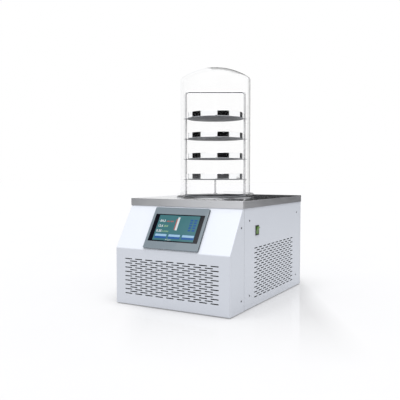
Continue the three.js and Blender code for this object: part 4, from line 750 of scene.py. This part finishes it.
base_low, base_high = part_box("rack_base")
RING_INNER, RING_OUTER, RING_TALL = 0.108, 0.117, 0.0046
BAR_LONG, BAR_WIDE, BAR_THICK = 0.2336, 0.016, 0.003
bm = bmesh.new()
lathe(bm, ring_outline(RING_INNER, RING_OUTER, base_low.z, base_low.z + RING_TALL, 0.0008), steps=96)
bar = bmesh.new()
soft_slab(bar, (-BAR_LONG / 2, -BAR_WIDE / 2, base_high.z - BAR_THICK),
          (BAR_LONG / 2, BAR_WIDE / 2, base_high.z), 2, 0.0075, 0.0006)
piece("rack_foot", turned_rack(combine(bm, bar, "UNION")), "shelf_steel_and_shade", ["rack_base"])

rod_low, rod_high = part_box("centre_rod")
ROD, NUT, NUT_TALL = 0.0035, 0.0068, 0.005
bm = bmesh.new()
lathe(bm, [(0, rod_low.z), (ROD, rod_low.z), (ROD, rod_high.z - 0.0008), (ROD - 0.0008, rod_high.z),
           (0, rod_high.z)], AXIS, steps=32)
nut = drum(bm, NUT, NUT_TALL, AXIS + Vector((0, 0, rod_low.z + NUT_TALL / 2)), segments=6)
round_over(bm, [e for e in edges_at(nut) if abs(e.verts[0].co.z - e.verts[1].co.z) < 1e-6], 0.0006, 2)
piece("rack_centre_rod", bm, "rack_steel", ["centre_rod"])

# %% [markdown]
# Each shelf is a thin disc with an ear round each post and two low stops that keep the tray from sliding.
# Each tray is spun from one sheet: a flat floor, a tight radius, an upright wall and a rolled rim.

# %% Shelves and trays
def shelf(low, thickness=0.0015, radius=0.1077):
    edge = thickness / 2 - 0.0001
    bm = bmesh.new()
    upper = arc((radius - edge, low + thickness - edge), edge, 90, 0, 3)
    lower = arc((radius - edge, low + edge), edge, 0, -90, 3)
    lathe(bm, [(0, low + thickness), *upper, *lower, (0, low)], steps=96)
    ears, bores = bmesh.new(), bmesh.new()
    for side in (-1, 1):
        drum(ears, 0.0078, thickness, (side * SPREAD, 0, low + thickness / 2))
        near, far = sorted((side * 0.1046, side * 0.1061))
        slab(ears, (-0.003, near, low + 0.0003), (0.003, far, low + 0.005))
        drum(bores, POST + 0.0003, 0.02, (side * SPREAD, 0, low))
    return combine(combine(bm, ears, "UNION"), bores, "DIFFERENCE")


def tray(low, high, radius=0.104, wall=0.0012):
    knee = 0.0026
    lining, roll = knee - wall, wall / 2
    outline = [(0, low), *arc((radius - knee, low + knee), knee, -90, 0, 5),
               *arc((radius - roll, high - roll), roll, 0, 180, 6),
               *arc((radius - knee, low + knee), lining, 0, -90, 5), (0, low + wall)]
    bm = bmesh.new()
    lathe(bm, outline, AXIS, steps=128)
    return bm


for level in range(1, 5):
    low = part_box(f"shelf_{level}")[0]
    # The shelves' dark grey is painted shade on their undersides.
    piece(f"rack_shelf_{level}", turned_rack(shelf(low.z)), "shelf_steel_and_shade", [f"shelf_{level}"])
    low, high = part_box(f"tray_{level}")
    made = piece(f"round_tray_{level}", tray(low.z, high.z), "stainless", [f"tray_{level}"])
    heart = AXIS + Vector((0, 0, high.z))
    # The inner faces are satin and darker: the satin is the tray's finish, the darker tone is painted shade
    # inside the tray.
    second_finish(made, "tray_inside_and_shade", lambda middle, normal: (middle - heart).dot(normal) < -0.001)

# %% [markdown]
# The touch screen lies on the slanted face. It is built flat, X across and Y up the slope, and laid on the
# face by one matrix. The bezel is a moulded frame with eased edges; the glass is a dark slab set half a
# millimetre back in it.

# %% Bezel and glass
BEZEL_MIDDLE = (GLASS_BOTTOM + GLASS_TOP) / 2
GLASS_FRONT = 0.0068


def on_slope(bm):
    bmesh.ops.transform(bm, matrix=slope @ Matrix.Translation((0, BEZEL_MIDDLE, 0)), verts=bm.verts)
    return bm


bm = bmesh.new()
soft_slab(bm, (-0.109, -0.08, 0.0003), (0.109, 0.08, 0.0073), 2, 0.004, 0.0012)
half_tall = (GLASS_TOP - GLASS_BOTTOM) / 2
window = bmesh.new()
soft_slab(window, (-GLASS_WIDE / 2, -half_tall, -0.01), (GLASS_WIDE / 2, half_tall, 0.02), 2, 0.001, 0)
bezel = piece("moulded_bezel", on_slope(combine(bm, window, "DIFFERENCE")), "grey_plastic", ["screen_bezel"])
# The bezel's left and right ends take the darker grey: painted shade on the ends.
second_finish(bezel, "painted_shade_bezel_side", lambda middle, normal: abs(normal.x) > 0.8)

GLASS_GAP = 0.0003
across, up = GLASS_WIDE / 2 - GLASS_GAP, half_tall - GLASS_GAP
bm = bmesh.new()
soft_slab(bm, (-across, -up, GLASS_FRONT - 0.002), (across, up, GLASS_FRONT), 2, 0.0008, 0.0003)
piece("touch_glass", on_slope(bm), "screen_glass", ["screen_glass"])

# %% [markdown]
# The picture on the screen is made of thin lit tiles on the glass: a teal ground, a column gauge in the
# middle, a row of status lamps, three buttons, and plain figures for readings. A lit tile is black plastic
# that gives off its own colour, so it stays readable under any light.

# %% Lit tiles
def lit(name, first, second, scale=25.0):
    """A glowing finish whose colour drifts between two tones."""
    finish = Finish(name, Base_Color=srgb(10, 12, 14), Roughness=0.12, Specular_IOR_Level=0.4,
                    Emission_Strength=1.0)
    finish.feed(finish.shader, "Emission Color", finish.mix(finish.noise(scale), first, second))
    return finish.material


finishes["lit_ground"] = lit("lit_teal", srgb(62, 112, 116), srgb(76, 124, 132))
finishes["lit_white"] = lit("lit_white", srgb(206, 214, 218), srgb(222, 228, 230), 200)
finishes["lit_red"] = lit("lit_red", srgb(176, 88, 82), srgb(196, 112, 104), 200)
finishes["lit_green"] = lit("lit_green", srgb(150, 186, 140), srgb(172, 204, 160), 200)
finishes["lit_blue"] = lit("lit_blue", srgb(40, 84, 146), srgb(52, 100, 164), 200)
finishes["lit_sky"] = lit("lit_sky", srgb(142, 184, 212), srgb(172, 206, 230), 200)

GROUND_LEVEL, MARK_LEVEL, TOP_LEVEL = 0.00005, 0.00015, 0.00025
TILE_THICK = 0.00006


def tile(bm, left, bottom, right, top, level=MARK_LEVEL, corner=0.0008):
    front = GLASS_FRONT + level
    soft_slab(bm, (left, bottom, front), (right, top, front + TILE_THICK), 2, corner, 0, 2)


def figures(bm, words, left, bottom, tall):
    """Numbers set in the plain built-in face, made a mesh and laid on the glass."""
    curve = bpy.data.curves.new("figures", "FONT")
    curve.body, curve.size, curve.extrude, curve.resolution_u = words, tall * 1.4, TILE_THICK / 2, 3
    curve.offset = tall * 0.04
    holder = bpy.data.objects.new("figures", curve)
    scene.collection.objects.link(holder)
    mesh = bpy.data.meshes.new_from_object(holder.evaluated_get(bpy.context.evaluated_depsgraph_get()))
    mesh.transform(Matrix.Translation((left, bottom, GLASS_FRONT + MARK_LEVEL + TILE_THICK / 2)))
    bm.from_mesh(mesh)
    bpy.data.objects.remove(holder)
    bpy.data.meshes.remove(mesh)


bm = bmesh.new()
tile(bm, -0.081, -0.048, 0.081, 0.049, GROUND_LEVEL, 0.0004)
piece("screen_ground", on_slope(bm), "lit_ground", [])

white, red, green = bmesh.new(), bmesh.new(), bmesh.new()
tile(white, -0.0035, -0.008, 0.0045, 0.042)
tile(red, -0.0075, -0.007, -0.004, 0.036)
for i, words in enumerate(("-54.2", "12.6", "0.35")):
    figures(white, words, -0.076, 0.0225 - i * 0.0195, 0.0088)
figures(green, "25.0", -0.0505, 0.0035, 0.0066)
figures(red, "-60.0 60.0", -0.0475, 0.0228, 0.0052)
figures(green, "0.10 20.0", -0.053, -0.016, 0.005)
figures(white, "0 1 2 3 4", -0.028, -0.0468, 0.004)
piece("screen_white_marks", on_slope(white), "lit_white", [])
piece("screen_red_marks", on_slope(red), "lit_red", [])
piece("screen_green_marks", on_slope(green), "lit_green", [])

BUTTON_WIDE = 0.0472
blue, sky = bmesh.new(), bmesh.new()
for left in (-0.0757, -0.0215, 0.0326):
    tile(blue, left, -0.0405, left + BUTTON_WIDE, -0.0235)
    tile(sky, left + 0.0008, -0.0325, left + BUTTON_WIDE - 0.0008, -0.0243, TOP_LEVEL)
for row in range(5):
    bottom = -0.009 + row * 0.0095
    for left, right in ((0.048, 0.058), (0.063, 0.0745)):
        tile(blue, left, bottom, right, bottom + 0.0065)
piece("screen_blue_marks", on_slope(blue), "lit_blue", [])
piece("screen_button_tops", on_slope(sky), "lit_sky", [])

# %% [markdown]
# The power switch is a black frame clipped into the side panel, with a green rocker that turns on two pins.
# Small moulded parts like these already have the right shape in the CAD model: a copy is merged,
# its flat faces are joined, and its sharp edges are eased by a bevel.

# %% Moulded parts from their CAD shapes
def moulded(name, node, finish, edge, body="cabinet", segments=2):
    """A copy of a CAD node with its edges eased."""
    bm = bmesh.new()
    bm.from_mesh(frame["nodes"][node].data)
    bmesh.ops.remove_doubles(bm, verts=bm.verts, dist=1e-6)
    bmesh.ops.dissolve_limit(bm, angle_limit=math.radians(2), verts=bm.verts, edges=bm.edges)
    sharp = [e for e in bm.edges if len(e.link_faces) == 2 and e.calc_face_angle(0) > math.radians(40)]
    round_over(bm, sharp, edge, segments)
    return piece(name, bm, finish, [node], body)


moulded("switch_surround", "switch_frame", "black_plastic", 0.0004)
moulded("green_switch_rocker", "switch_rocker", "green_plastic", 0.0004, "power_rocker")
moulded("mains_inlet", "power_inlet", "black_plastic", 0.0003)
moulded("pump_socket", "pump_outlet", "black_plastic", 0.0003)
moulded("air_lever_handle", "air_lever", "black_plastic", 0.0005, "air_handle")
moulded("drain_lever_handle", "drain_lever", "black_plastic", 0.0005, "drain_handle")

# %% [markdown]
# The rear has a flanged port for a vacuum pump, two small valves with barbed ends, a fuse holder, and holes
# for each in a flat sheet. Round parts are outlines spun along Y.

# %% Rear fittings
def spun_along_y(name, node, finish, outline, middle, steps=40):
    bm = bmesh.new()
    lathe(bm, outline, middle, "Y", steps)
    return piece(name, bm, finish, [node])


low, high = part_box("rear_panel")
REAR = high.y
pipe_low, pipe_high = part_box("vacuum_pipe")
port = Vector((0, 0, (pipe_low.z + pipe_high.z) / 2))
end = pipe_high.y
inner_end = (PORT_BORE, pipe_low.y)
spun_along_y("pump_port", "vacuum_pipe", "brushed",
             [inner_end, (0.014, pipe_low.y), (0.014, end - 0.007), (0.0196, end - 0.0032),
              (0.02, end - 0.0028), (0.02, end - 0.0004), (0.0196, end), (0.0132, end),
              (0.0132, end - 0.0015), (PORT_BORE, end - 0.002), inner_end], port)

fuse_low, fuse_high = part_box("fuse_holder")
middle = Vector(((fuse_low.x + fuse_high.x) / 2, REAR, (fuse_low.z + fuse_high.z) / 2))
spun_along_y("fuse_cap", "fuse_holder", "black_plastic",
             [(0, -0.026), (0.007, -0.026), (0.007, 0.0003), (0.0098, 0.0003), (0.01, 0.0007),
              (0.01, 0.003), (0.0075, 0.0037), (0.0072, 0.0084), (0.0066, 0.009), (0.0022, 0.009),
              (0.0018, 0.0078), (0, 0.0078)], middle)

HEX = 0.009


def valve(name, node):
    """A hexagon body with a barb inside, a ridged spout outside and a stem on top."""
    low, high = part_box(node)
    middle = Vector(((low.x + high.x) / 2, REAR, low.z + HEX))
    heart = middle + Vector((0, 0.0103, 0))
    barb = [(0, -0.015), (0.003, -0.015), (0.004, -0.011), (0.0034, -0.011), (0.004, -0.007),
            (0.004, 0.0005), (0, 0.0005)]
    spout = [(0, 0.02), (0.0034, 0.02), (0.0034, 0.0215), (0.004, 0.0215), (0.0035, 0.0245),
             (0.004, 0.0245), (0.003, 0.028), (0.002, 0.028), (0.002, 0.024), (0, 0.024)]
    stem = [(0, 0.008), (0.003, 0.008), (0.003, 0.0118), (0.0026, 0.0123), (0, 0.0123)]
    bm = bmesh.new()
    drum(bm, HEX, 0.02, heart, along_y=True, segments=6)
    round_over(bm, [e for e in bm.edges if e.calc_face_angle(0) > math.radians(70)], 0.0008, 2)
    lathe(bm, barb, middle, "Y", 24)
    lathe(bm, spout, middle, "Y", 24)
    lathe(bm, stem, heart, "Z", 24)
    return piece(name, bm, "brass", [node])


valve("air_inlet_valve", "air_valve")
valve("drain_outlet_valve", "drain_valve")

bm = bmesh.new()
slab(bm, low, high)
bores = bmesh.new()
SOCKET_HEIGHT = 0.25
HOLES = {"port": (0, PORT_HEIGHT, 0.0143), "air": (-0.05, PORT_HEIGHT, 0.0043),
         "drain": (-0.11, 0.06, 0.0043), "fuse": (0.175, SOCKET_HEIGHT, 0.0073)}
for x, z, radius in HOLES.values():
    drum(bores, radius, 0.02, (x, REAR, z), along_y=True)
socket = Vector((0.0138, 0.01, 0.0103))
for x in (0.05, 0.12):
    middle = Vector((x, REAR, SOCKET_HEIGHT))
    slab(bores, middle - socket, middle + socket)
piece("flat_rear_panel", combine(bm, bores, "DIFFERENCE"), "white_paint", ["rear_panel"])

# %% [markdown]
# Four rubber feet carry the case. Small dark screws hold the panels: two in each return of the front
# cover, four in each side panel and six in the rear. A screw is a low button head with a driven recess.

# %% Feet and panel screws
EASE = 0.0015
for place in ("front_left", "front_right", "rear_left", "rear_right"):
    low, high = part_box(f"foot_{place}")
    middle = Vector(((low.x + high.x) / 2, (low.y + high.y) / 2, low.z))
    tall = high.z - low.z
    lower = arc((0.0155, EASE), EASE, -90, -20, 3)
    upper = arc((0.0165, tall - EASE), EASE, 0, 90, 3)
    bm = bmesh.new()
    lathe(bm, [(0, 0), (0.0145, 0), *lower, *upper, (0, tall)], middle, steps=48)
    piece(f"rubber_foot_{place}", bm, "rubber", [f"foot_{place}"])


def screw(bm, place, facing):
    """A button head with a round recess, facing out of a panel."""
    turn = Vector((0, 0, 1)).rotation_difference(Vector(facing)).to_matrix().to_4x4()
    before = set(bm.verts)
    lathe(bm, [(0, 0.0005), (0.0011, 0.0005), (0.0012, 0.0015), (0.0022, 0.0013), (0.0031, 0.0005),
               (0.0032, 0), (0, 0)], steps=20)
    added = [v for v in bm.verts if v not in before]
    bmesh.ops.transform(bm, matrix=Matrix.Translation(place) @ turn, verts=added)


RETURN_SCREWS = ((0.083, 0.282), (0.083, 0.0406))
PANEL_SCREWS = ((0.1465, 0.3015), (0.601, 0.3034), (0.594, 0.049), (0.147, 0.047))
bm = bmesh.new()
for side in (-1, 1):
    for y, z in RETURN_SCREWS + PANEL_SCREWS:
        screw(bm, Vector((side * right_face, FRONT + y, z)), (side, 0, 0))
for x in (-0.205, 0, 0.205):
    for z in (0.022, 0.352 if x else 0.29):
        screw(bm, Vector((x, REAR, z)), (0, 1, 0))
piece("panel_screws", bm, "screw", [])
